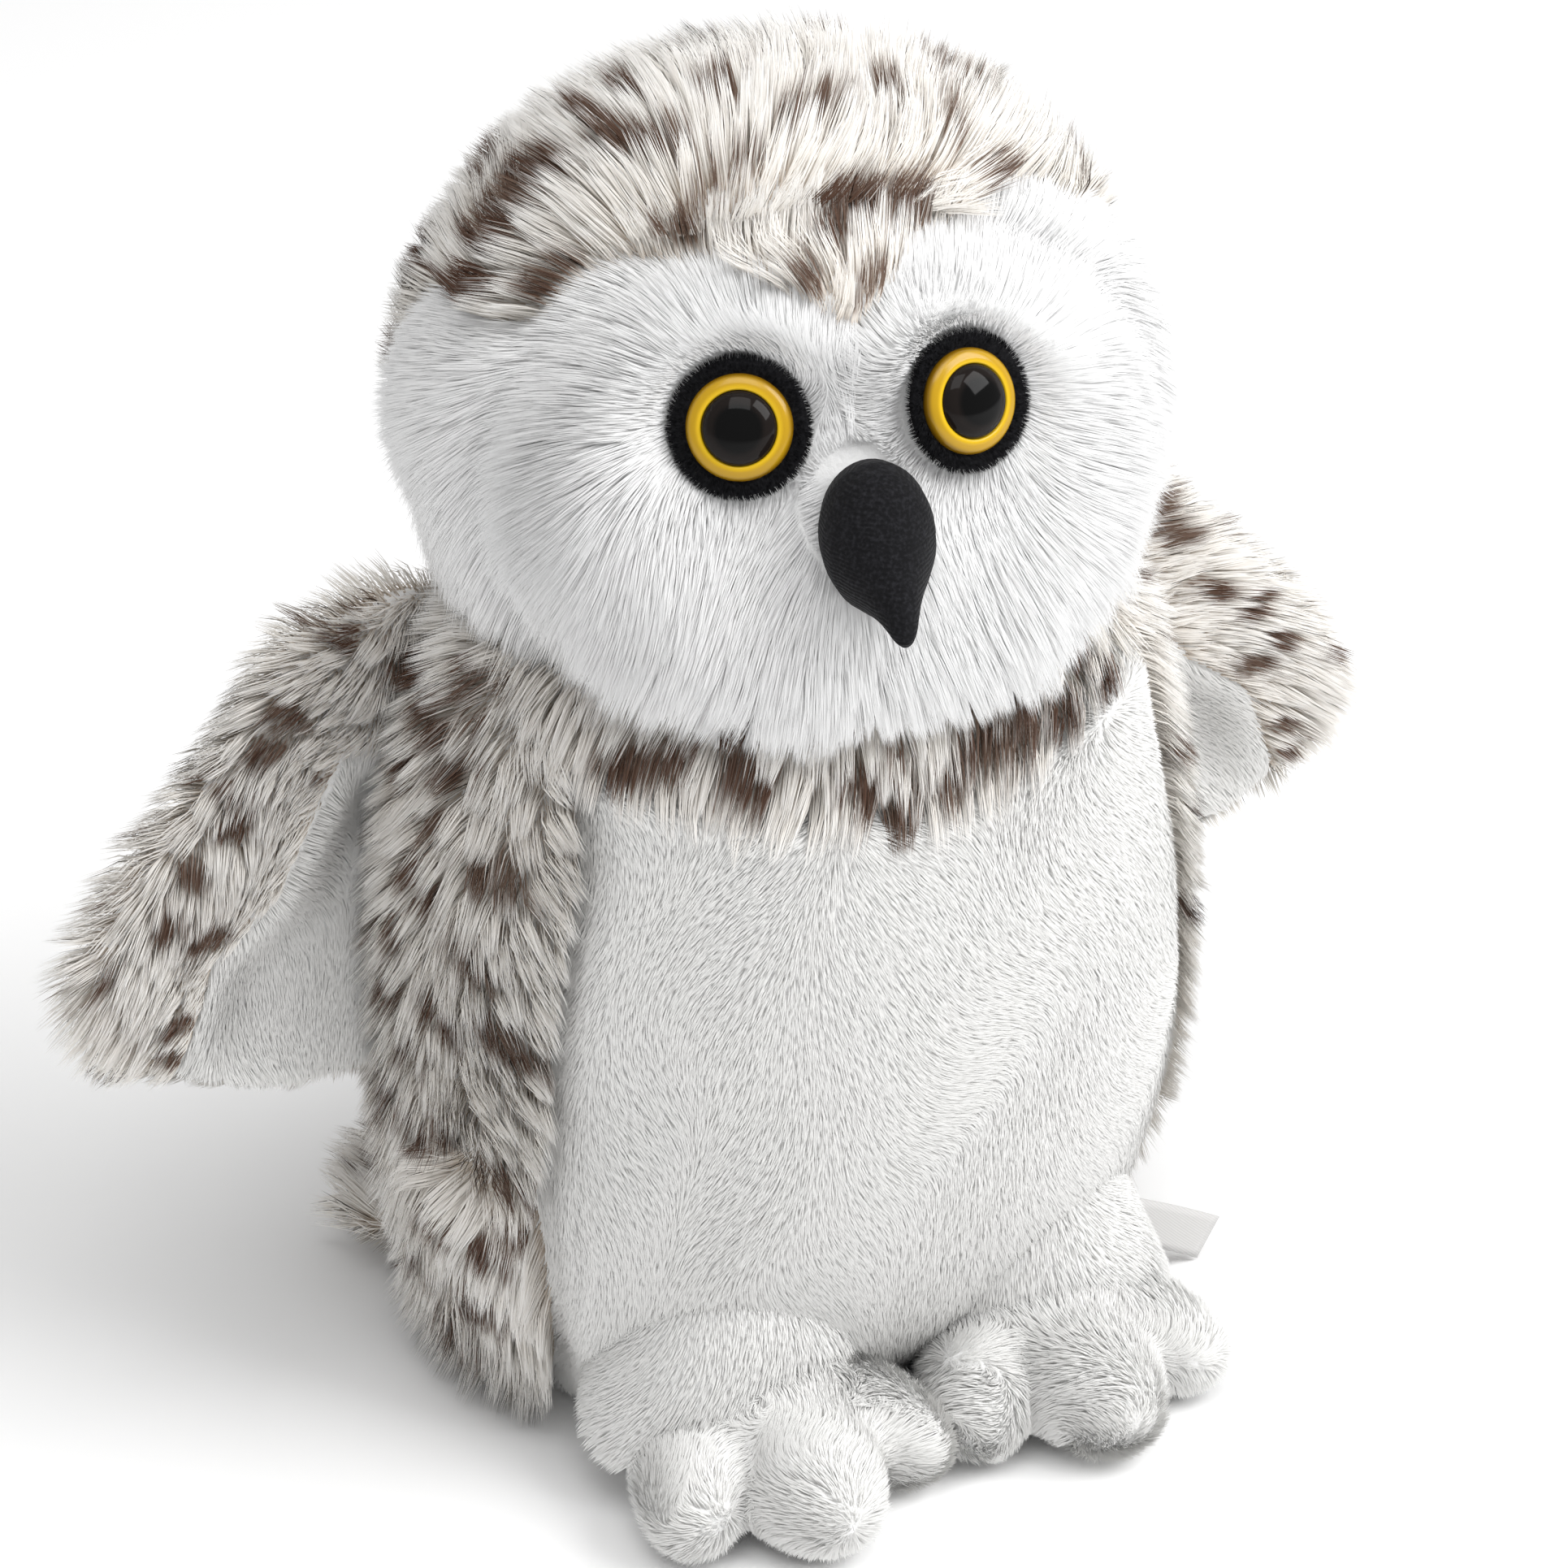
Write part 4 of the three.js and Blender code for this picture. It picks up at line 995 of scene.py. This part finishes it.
def wing_skin_place(point, side):
    across, up, thick = wing_pad(point)
    inside = edge_distance(np.array([[across, up]]), LINING_OUTLINE)[0]
    hollow = LINING_HOLLOW * float(rise(inside, 0, LINING_SLOPE)) * (1 if thick > 0 else 0.65)
    rim = 1 - float(smoothstep(math.hypot(point.x, point.y) - 0.05) ** 6)
    return Vector((side * across, wing_back(up) - thick + hollow * rim, up))


wing_skins = {}
for name, side in SIDES:
    skin = keep(
        ball(72, 40, lambda p, s=side: wing_skin_place(p, s)),
        f"wing_skin_{name}", f"wing_{name}", WHITE_GROUND,
    )
    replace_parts(skin, f"wing_filling_{name}")
    wing_skins[name] = skin
print("wing skins made")

# %% Wing pile
IN_BODY, FRONT_SIDE, EDGE_SIDE, SPOTTED_SHARE = 7 * MM, 0.3, 0.35, 0.55
ROLL = 13 * MM  # how far outside the lining the roll's ridge runs
TIP_ACROSS, WING_FUR, TIP_FUR = 118 * MM, 11.5 * MM, 12.5 * MM
WING_BARS = [  # across and up in mm, on the roll of the wing's front edge
    (79, 171), (83, 163), (72, 153), (96, 150), (99, 144), (87, 135), (108, 129), (117, 123),
    (122, 114), (115, 111), (137, 107), (122, 95), (126, 89),
]
WING_BACK_ROWS = [(x, z) for x in range(84, 140, 17) for z in range(80 + x % 3 * 5, 165, 19)]


def wing_spots(side):
    places, bars = [], []
    for face, marks in ((-9 * MM, WING_BARS), (7 * MM, WING_BACK_ROWS)):
        for across, up in marks:
            places.append((side * across * MM, wing_back(up * MM) + face, up * MM))
            bars.append((side * 0.8, 0, 0.45 * math.sin(across + up)))
    return places, bars


def wing_fur(name, side, at, out, inside):
    """Spotted fur, fanned out over the roll, shorter at the lining and on the lower edge."""
    flat, front = np.stack([at[:, 0] * side, at[:, 2]], 1), out[:, 1] < FRONT_SIDE
    fan = (flat - np.array([[0.085, 0.125]])) + np.array([[0.55, 0.62]]) * (-inside[:, None] - ROLL)
    fan = np.stack([fan[:, 0] * side, 0 * fan[:, 0], fan[:, 1]], 1) * 12
    near_lining = front * (1 - rise(-inside, 3 * MM, 10 * MM))
    down = np.array([[0.25 * side, 0, -0.9]]) + near_lining[:, None] * [[0.6 * side, 0, 0.3]]
    comb = along_cloth(fan * front[:, None] + down + 0.65 * wander(at, 14 * MM, 83), out)
    laid = np.where(front, np.clip(np.abs(inside + ROLL) / (11 * MM), 0.8, 1), 1)
    long = WING_FUR * (0.4 + 0.6 * rise(at[:, 2], 72 * MM, 14 * MM))
    long = np.where(flat[:, 0] > TIP_ACROSS, TIP_FUR, long) * (1 - 0.4 * near_lining)
    return spotted(
        f"wing_outer_pile_{name}", at, out, comb, long, f"wing_{name}",
        lean=(32 * laid, 66 * laid), clump=36, cling=0.45,
        dye=spots_on(*wing_spots(side), 5.5 * MM, 2.5 * MM, 8), seed=84,
    )


for name, side in SIDES:
    at, out = roots(wing_skins[name], WING_ROOTS, 81)
    inside = edge_distance(np.stack([at[:, 0] * side, at[:, 2]], 1), LINING_OUTLINE)
    lined, free = (out[:, 1] < EDGE_SIDE) & (inside > 0), ~inside_body(at, IN_BODY)
    spare = np.random.default_rng(82).uniform(size=len(at)) < SPOTTED_SHARE
    chosen = ~lined & spare & free
    fur = wing_fur(name, side, at[chosen], out[chosen], inside[chosen])
    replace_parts(fur, f"wing_outer_{name}")
    at, out = at[lined & free], out[lined & free]
    comb = brushed_down(at, out, 0.6, 15 * MM, 85, 0.4)
    fur = plush(f"wing_lining_pile_{name}", at, out, comb, f"wing_{name}", seed=86)
    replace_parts(fur, f"wing_lining_{name}")

# %% [markdown]
# The tail is a flat pad of spotted fur that rests on the floor behind the body. It is nearly as
# wide as the body, so a tuft of it shows at each side.

# %% Tail
TAIL_OUTLINE = np.array([
    (-50, 34), (0, 34), (50, 34), (74, 44), (70, 62), (42, 82), (0, 89), (-42, 82), (-70, 62),
    (-74, 44),
]) * MM
TAIL_Z, TAIL_INSET, TAIL_SWELL = 11 * MM, 4 * MM, 4.5 * MM
TAIL_SPOTS = [
    (x * MM, (y - 4) * MM) for x in range(-66, 70, 19) for y in range(44 + x % 2 * 8, 94, 16)
]
tail_pad = pad_place(TAIL_OUTLINE, TAIL_INSET, TAIL_SWELL)


def tail_place(point):
    across, back, thick = tail_pad(point)
    return Vector((across, back + BODY_Y, TAIL_Z + thick))


tail_skin = keep(ball(64, 24, tail_place), "tail_skin", "tail", BEIGE_GROUND)
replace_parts(tail_skin, "tail_filling")


def tail_pile(name, upper, share, long, level, seed):
    """Fur that fans out from the tail's middle, on one face of it and clear of the body."""
    at, out = roots(tail_skin, TAIL_ROOTS, seed)
    outside = np.hypot(at[:, 0] / 0.070, (at[:, 1] - BODY_Y - 10 * MM) / 0.055) > 1
    chosen = ((out[:, 2] > -0.1) == upper) & outside
    chosen &= np.random.default_rng(seed + 7).uniform(size=len(at)) < share
    at, out = at[chosen], out[chosen]
    away = np.stack([at[:, 0], at[:, 1] - BODY_Y - 66 * MM, 0 * at[:, 0] - 0.02], 1) * 15
    comb = along_cloth(away + 0.6 * wander(at, 14 * MM, seed + 1), out)
    places = [(x, y, TAIL_Z + level) for x, y in TAIL_SPOTS]
    bars = [(0.9, 0.3 * math.sin(900 * x), 0) for x, _ in TAIL_SPOTS]
    fur = spotted(
        name.replace("tail", "tail_pile"), at, out, comb, long, "tail", lean=(34, 68), clump=38,
        dye=spots_on(places, bars, 6 * MM, 3 * MM, 9), seed=seed + 2,
    )
    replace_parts(fur, name)


tail_pile("tail_top", True, 1.0, 13 * MM, 7 * MM, 91)
tail_pile("tail_underside", False, 0.6, 8 * MM, -7 * MM, 95)

# %% [markdown]
# A foot is an instep and three toes. Four stretched balls are joined by a voxel remesh and then
# smoothed, which rounds the creases between the toes as stuffing does.

# %% Feet
FOOT_ACROSS, TOE_GAP, TOE_Y, SIDE_TOE_BACK = 31 * MM, 18 * MM, -65 * MM, 10 * MM
INSTEP_Y, WHORL_BACK, WHORL_UP = -46 * MM, 24 * MM, 14 * MM
FOOT_SIZES = ((46, 42, 35), (29.5, 45, 28), (24.5, 44, 25))
INSTEP, MIDDLE_TOE, SIDE_TOE = (Vector(size) * MM / 2 for size in FOOT_SIZES)
TOE_SPLAY, SOLE_PRESS, FOOT_SINK, SOLE_Z = math.radians(26), 2 * MM, 1.5 * MM, 1.2 * MM


def lobe(bm, half, splay, x, y):
    """Adds one stretched ball that is pressed a little into the floor."""
    half = half - Vector((FOOT_SINK,) * 3)
    made = bmesh.ops.create_uvsphere(bm, u_segments=32, v_segments=20, radius=1)
    lift = Matrix.Translation((x, y + BODY_Y, half.z + FOOT_SINK - SOLE_PRESS))
    shape = lift @ Matrix.Rotation(splay, 4, "Z") @ Matrix.Diagonal((*half, 1))
    bmesh.ops.transform(bm, matrix=shape, verts=made["verts"])


def foot_skin(name, side):
    bm = bmesh.new()
    lobe(bm, INSTEP, 0, side * FOOT_ACROSS, INSTEP_Y)
    lobe(bm, MIDDLE_TOE, 0, side * FOOT_ACROSS, TOE_Y)
    for out in (-1, 1):
        across = side * FOOT_ACROSS + out * TOE_GAP
        lobe(bm, SIDE_TOE, out * TOE_SPLAY, across, TOE_Y + SIDE_TOE_BACK)
    foot = keep(bm, f"foot_skin_{name}", f"foot_{name}", WHITE_GROUND)
    remesh = foot.modifiers.new("join", "REMESH")
    remesh.mode, remesh.voxel_size = "VOXEL", 1.5 * MM
    smooth = foot.modifiers.new("soften", "SMOOTH")
    smooth.factor, smooth.iterations = 0.5, 30
    set_live(foot)
    for vert in foot.data.vertices:
        vert.co.z = max(vert.co.z, SOLE_Z)
    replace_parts(foot, f"foot_stuffing_{name}", f"foot_sole_{name}")
    return foot


def foot_pile(name, side, foot):
    at, out = roots(foot, FOOT_ROOTS, 101)
    whorl = np.array([[side * FOOT_ACROSS, TOE_Y + BODY_Y - WHORL_BACK, WHORL_UP]])
    comb = along_cloth(along_cloth(at - whorl, out) * 0.5 + 0.95 * wander(at, 9 * MM, 102), out)
    upper = at[:, 2] > 2 * MM
    fur = plush(
        f"foot_pile_{name}", at[upper], out[upper], comb[upper], f"foot_{name}", long=3.8 * MM,
        lean=(42, 70), clump=20, cling=0.28, seed=103,
    )
    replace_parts(fur, f"foot_upper_{name}")


for name, side in SIDES:
    foot_pile(name, side, foot_skin(name, side))

# %% [markdown]
# The leg of each side is a short dome of belly plush whose hem hangs loose over the foot.

# %% Leg cuffs
LEG_HALF = Vector((27, 23, 29)) * MM
LEG_AT = Vector((32, -38, 23)) * MM
HEM_LEVEL, HEM_FLARE, HEM_DROOP, CUFF_WALL = 0.12, 7 * MM, 14 * MM, 1.6 * MM


def cuff_place(point, side):
    """A dome whose hem flares and droops on the outer side of the leg."""
    half = LEG_HALF - Vector((SHORT_SINK,) * 3)
    low = float(rise(0.6 - point.z, 0, 0.48))
    outer = max(0.0, point.x * 0.92 - point.y * 0.38) ** 2
    wide = 1 + (HEM_FLARE / half.x) * low * outer
    x, y = point.x * half.x * wide, point.y * half.y * wide
    up = LEG_AT.z + point.z * half.z - HEM_DROOP * low * outer
    return Vector((side * (LEG_AT.x + x), LEG_AT.y + BODY_Y + y, up))


def leg_cuff(name, side):
    bm = bmesh.new()
    bmesh.ops.create_uvsphere(bm, u_segments=56, v_segments=40, radius=1)
    everything = [*bm.verts, *bm.edges, *bm.faces]
    bmesh.ops.bisect_plane(
        bm, geom=everything, plane_co=(0, 0, HEM_LEVEL), plane_no=(0, 0, 1), clear_inner=True
    )
    for vert in bm.verts:
        vert.co = cuff_place(vert.co.copy(), side)
    cuff = keep(bm, f"leg_cuff_skin_{name}", "body", WHITE_GROUND)
    at, out = roots(cuff, CUFF_ROOTS, 111)
    wall = cuff.modifiers.new("wall", "SOLIDIFY")
    wall.thickness, wall.offset = CUFF_WALL, -1
    set_live(cuff)
    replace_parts(cuff, f"leg_stuffing_{name}")
    outside = (at[:, 1] - BODY_Y) < -24 * MM + 0.25 * np.abs(at[:, 0])
    at, out = at[outside], out[outside]
    comb = brushed_down(at, out, 0.5, 11 * MM, 112, 0.2)
    fur = plush(f"leg_cuff_pile_{name}", at, out, comb, "body", seed=113)
    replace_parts(fur, f"leg_cuff_{name}")


for name, side in SIDES:
    leg_cuff(name, side)

# %% [markdown]
# Eyes: a felt disc, an amber ring and a dark domed pupil on one axis. All three are lathe shapes,
# so each is a small outline spun round the axis. Short black fibres stand off the felt's rim.

# %% Lathe helper
def spun(points, steps, place):
    """A lathe shape: an outline of radius and height, spun round Z and put in its place."""
    bm = bmesh.new()
    verts = [bm.verts.new((radius, 0, height)) for radius, height in points]
    edges = [bm.edges.new(pair) for pair in zip(verts, verts[1:])]
    bmesh.ops.spin(
        bm, geom=verts + edges, cent=(0, 0, 0), axis=(0, 0, 1), angle=2 * math.pi, steps=steps,
        use_merge=True,
    )
    bmesh.ops.remove_doubles(bm, verts=bm.verts, dist=1e-6)
    bmesh.ops.transform(bm, matrix=place, verts=bm.verts)
    return bm


# %% Eye finishes
def amber():
    paint = Paint("amber_plastic", 0.2, Specular_IOR_Level=0.4)
    # Towards the pupil the amber is painted brighter, a painted refraction glow from the dome's
    # edge, and at the outer edge it is painted darker, painted shade of the ring's rim; the mid
    # amber between them is the plastic's own colour.
    ring = paint.reading("ring")
    colour = paint.mix(ring.between(0.05, 0.45), (0.82, 0.52, 0.012, 1), (0.50, 0.29, 0.006, 1))
    return paint.coloured(paint.mix(ring.between(0.65, 1.0), colour, (0.20, 0.10, 0.003, 1)))


def dark_gloss():
    paint = Paint("dark_plastic", 0.08, Specular_IOR_Level=0.13)
    # Near-black in the middle; the lighter brown towards the rim is a painted reflection of the
    # dome's edge.
    edge = paint.reading("ring").between(0.55, 0.75)
    return paint.coloured(paint.mix(edge, (0.003, 0.003, 0.003, 1), (0.012, 0.009, 0.008, 1)))


def felt(name):
    paint = Paint(name, 0.95, Specular_IOR_Level=0.12, Sheen_Weight=0.04, Sheen_Roughness=0.5)
    fibre = paint.noise(1400.0, 4.0)
    paint.bumped(fibre, 0.7, 0.0005)
    fibre = fibre.between(0.35, 0.7)
    return paint.coloured(paint.mix(fibre, (0.004, 0.004, 0.005, 1), (0.016, 0.016, 0.018, 1)))


AMBER, DARK, FELT = amber(), dark_gloss(), felt("black_felt")

# %% Eye pieces
EYE_R, PUPIL_R, RIM, PATCH_R, DOME_UP = 9.2 * MM, 6.5 * MM, 2.2 * MM, 11.2 * MM, 3.2 * MM
EYE_STEPS = 64


def ring_reading(piece, axis, inner, outer):
    """Writes how far each point lies from the eye's axis, 0 at inner and 1 at outer."""
    back = axis.inverted()
    mesh = piece.data
    values = [((back @ v.co).xy.length - inner) / (outer - inner) for v in mesh.vertices]
    mesh.attributes.new("ring", "FLOAT", "POINT").data.foreach_set("value", values)


def eye(name, side):
    axis = eye_axis(side)
    seat = PATCH_TOP + 0.3 * MM
    outline = [(0, seat + 0.4 * MM), (PUPIL_R, seat + 0.4 * MM), (PUPIL_R, seat + RIM - 0.4 * MM)]
    wide, tall = EYE_R - PUPIL_R, RIM - 0.5 * MM
    arc = [
        (PUPIL_R + wide * math.sin(a), seat + tall * math.cos(a) + 0.3 * MM)
        for a in np.linspace(0.12, math.pi / 2, 7)
    ]
    outline += [*arc, (EYE_R, seat - 0.5 * MM), (0, seat - 0.5 * MM)]
    ring = keep(spun(outline, EYE_STEPS, axis), f"eye_ring_{name}", "head", AMBER)
    ring_reading(ring, axis, PUPIL_R, EYE_R)
    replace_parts(ring, f"eye_iris_{name}")
    top = seat + RIM - 0.9 * MM
    dome = np.linspace(0, math.pi / 2, 12)
    outline = [(0, seat), (PUPIL_R, seat)]
    outline += [(PUPIL_R * math.cos(a), top + DOME_UP * math.sin(a)) for a in dome]
    pupil = keep(spun(outline, EYE_STEPS, axis), f"pupil_{name}", "head", DARK)
    ring_reading(pupil, axis, 0, PUPIL_R)
    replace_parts(pupil, f"eye_pupil_{name}")
    outline = [
        (0, PATCH_TOP - 1.2 * MM), (PATCH_R, PATCH_TOP - 1.0 * MM),
        (PATCH_R + 0.5 * MM, PATCH_TOP), (PATCH_R, PATCH_TOP + 0.8 * MM),
        (EYE_R, PATCH_TOP + 0.2 * MM), (0, PATCH_TOP),
    ]
    patch = keep(spun(outline, EYE_STEPS, axis), f"felt_disc_{name}", "head", FELT)
    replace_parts(patch, f"eye_patch_{name}")
    felt_fuzz(name, patch, axis, seed=121 + side)


def felt_fuzz(name, patch, axis, seed):
    """Short black fibres that stand off the felt round the eye."""
    at, out = roots(patch, FELT_ROOTS, seed)
    own = (at - np.array(axis.translation)) @ np.array(axis.to_3x3())
    rim = np.linalg.norm(own[:, :2], axis=1) > EYE_R + 0.2 * MM
    rim &= own[:, 2] > PATCH_TOP - 0.6 * MM
    at, out, own = at[rim], out[rim], own[rim]
    away = (own * np.array([[1, 1, 0]])) @ np.array(axis.to_3x3()).T
    comb = along_cloth(away + 0.004 * wander(at, 3 * MM, seed), out)
    grow(
        f"felt_fuzz_{name}", at, out, comb, 1.5 * MM, "head", "black_felt", FELT,
        lean=(25, 45), clump=4, cling=0.3, wide=0.12, seed=seed + 1,
    )


for name, side in SIDES:
    eye(name, side)

# %% [markdown]
# The beak is a stuffed felt hook, sewn in between the eyes. A lathe shape gives its swelling
# outline, and bending its axis down gives the hook.

# %% Beak
BEAK_ROOT, BEAK_LONG, BEAK_HOOK, BEAK_RISE = 53 * MM, 28.5 * MM, 12.5 * MM, 2 * MM
BEAK_WIDE, BEAK_TALL, BEAK_STEPS = 20 * MM, 24.5 * MM, 40
BEAK_ALONG = (0, 0.12, 0.26, 0.38, 0.475, 0.59, 0.69, 0.79, 0.875, 0.94, 0.98, 1)
BEAK_SWELL = (0.6, 0.83, 0.98, 1.0, 0.94, 0.76, 0.58, 0.42, 0.31, 0.23, 0.14, 0)


def beak_swell(along):
    """Half width along the beak: full near the root, then narrowing fast to a slim hook."""
    return float(np.interp(along, BEAK_ALONG, BEAK_SWELL))


def beak():
    stations = [i / BEAK_STEPS for i in range(BEAK_STEPS + 1)]
    outline = [(0, 0)] + [(beak_swell(a), a) for a in stations]
    bm = spun(outline, BEAK_STEPS, Matrix.Identity(4))
    for vert in bm.verts:
        x, y, along = vert.co
        up = BEAK_RISE + y * BEAK_TALL / 2 - BEAK_HOOK * along * along
        spot = Vector((x * BEAK_WIDE / 2, -BEAK_ROOT - along * BEAK_LONG, up))
        vert.co = HEAD @ spot
    made = keep(bm, "beak", "head", beak_felt())
    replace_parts(made, "beak_felt", "beak_stuffing")
    return made


def beak_felt():
    paint = Paint("beak_felt", 0.92, Specular_IOR_Level=0.15, Sheen_Weight=0.05,
                  Sheen_Roughness=0.5)
    ribs = paint.node("ShaderNodeTexWave", {"bands_direction": "Z"}, Vector=paint.place(),
                      Scale=420.0, Distortion=3.5, Detail=2.0)
    fibre = paint.noise(1500.0, 4.0)
    paint.bumped(ribs * 0.5 + fibre * 0.6, 0.55, 0.0004)
    fibre = fibre.between(0.4, 0.75)
    return paint.coloured(paint.mix(fibre, (0.005, 0.005, 0.006, 1), (0.017, 0.017, 0.020, 1)))


beak_piece = beak()
print("beak", len(beak_piece.data.polygons), "faces")

# %% [markdown]
# A short label of satin tape hangs from the left seam. It is left bare.

# %% Label
LABEL_ROOT = Vector(JOINTS["label_flap"]["pos_m"])
LABEL_LONG, LABEL_WIDE, LABEL_DROOP = 23 * MM, 10 * MM, math.radians(30)
LABEL_IN_SEAM, LABEL_CURL, LABEL_THICK = 3.5 * MM, 0.9 * MM, 0.35 * MM


def satin():
    paint = Paint("satin_tape", 0.38, Specular_IOR_Level=0.5, Sheen_Weight=0.3)
    weave = paint.node("ShaderNodeTexWave", {"bands_direction": "DIAGONAL"}, Vector=paint.place(),
                       Scale=900.0, Distortion=0.4)
    paint.bumped(weave, 0.25, 0.0001)
    # The tape's grey is painted shade over paler satin; the weave's lighter and darker bands are
    # the tape's own.
    return paint.coloured(paint.mix(weave, (0.58, 0.57, 0.56, 1), (0.66, 0.65, 0.64, 1)))


def label():
    bm = bmesh.new()
    bmesh.ops.create_grid(bm, x_segments=14, y_segments=6, size=0.5)
    turn = Matrix.Rotation(LABEL_DROOP, 4, "Y")
    whole = LABEL_LONG + LABEL_IN_SEAM
    for vert in bm.verts:
        run = (vert.co.x + 0.5) * whole - LABEL_IN_SEAM
        curl = LABEL_CURL * math.sin(run / LABEL_LONG * 2.4)
        vert.co = LABEL_ROOT + turn @ Vector((run, curl, vert.co.y * LABEL_WIDE))
    tape = keep(bm, "label_tape", "label", satin())
    wall = tape.modifiers.new("two layers", "SOLIDIFY")
    wall.thickness, wall.offset = LABEL_THICK, 0
    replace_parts(tape, "care_label")


label()

# %% [markdown]
# Studio: a pale floor, a white surround and two large soft lights. The brighter one stands on the
# owl's left, where the eyes catch it, so the owl's right wing and flank are in soft shade.

# %% Floor, light and camera
AIM = Vector((0, BODY_Y, 119.4 * MM))
CAMERA_TURN, CAMERA_UP, CAMERA_FAR, FOCAL, SENSOR = -28, 30, 850 * MM, 102.53, 36
LIGHTS = (("key", 46, 44, 46.0), ("above", -34, 70, 23.0))  # turn, height in degrees, power
LIGHT_FAR, LIGHT_SIZE, SURROUND, FLOOR_HALF = 2.4, 1.6, 0.48, 4


def placed(name, data):
    made = bpy.data.objects.new(name, data)
    bpy.context.scene.collection.objects.link(made)
    return made


def aimed(name, data, turn, up, far):
    """A lamp or camera that stands far off in a direction and looks at the owl."""
    made, way = placed(name, data), way_to(turn, up)
    made.location = AIM + way * far
    made.rotation_mode = "QUATERNION"
    made.rotation_quaternion = (-way).to_track_quat("-Z", "Y")
    return made


def floor():
    bm = bmesh.new()
    bmesh.ops.create_grid(bm, x_segments=1, y_segments=1, size=FLOOR_HALF)
    mesh = bpy.data.meshes.new("floor")
    bm.to_mesh(mesh)
    bm.free()
    mesh.materials.append(Paint("floor_paper", 0.9).coloured((0.99, 0.99, 0.99, 1)))
    placed("floor", mesh)


floor()
for name, turn, up, power in LIGHTS:
    lamp = bpy.data.lights.new(name, "AREA")
    lamp.shape, lamp.size, lamp.energy = "SQUARE", LIGHT_SIZE, power
    aimed(name, lamp, turn, up, LIGHT_FAR)
world = bpy.data.worlds.new("surround")
world.use_nodes = True
background = world.node_tree.nodes["Background"].inputs
background["Color"].default_value = (1, 1, 1, 1)
background["Strength"].default_value = SURROUND
bpy.context.scene.world = world
bpy.context.scene.view_settings.view_transform = "Standard"
lens = bpy.data.cameras.new("camera")
lens.lens, lens.sensor_width, lens.clip_start = FOCAL, SENSOR, 0.01
bpy.context.scene.camera = aimed("camera", lens, CAMERA_TURN, CAMERA_UP, CAMERA_FAR)
print("floor, lights and camera in place")
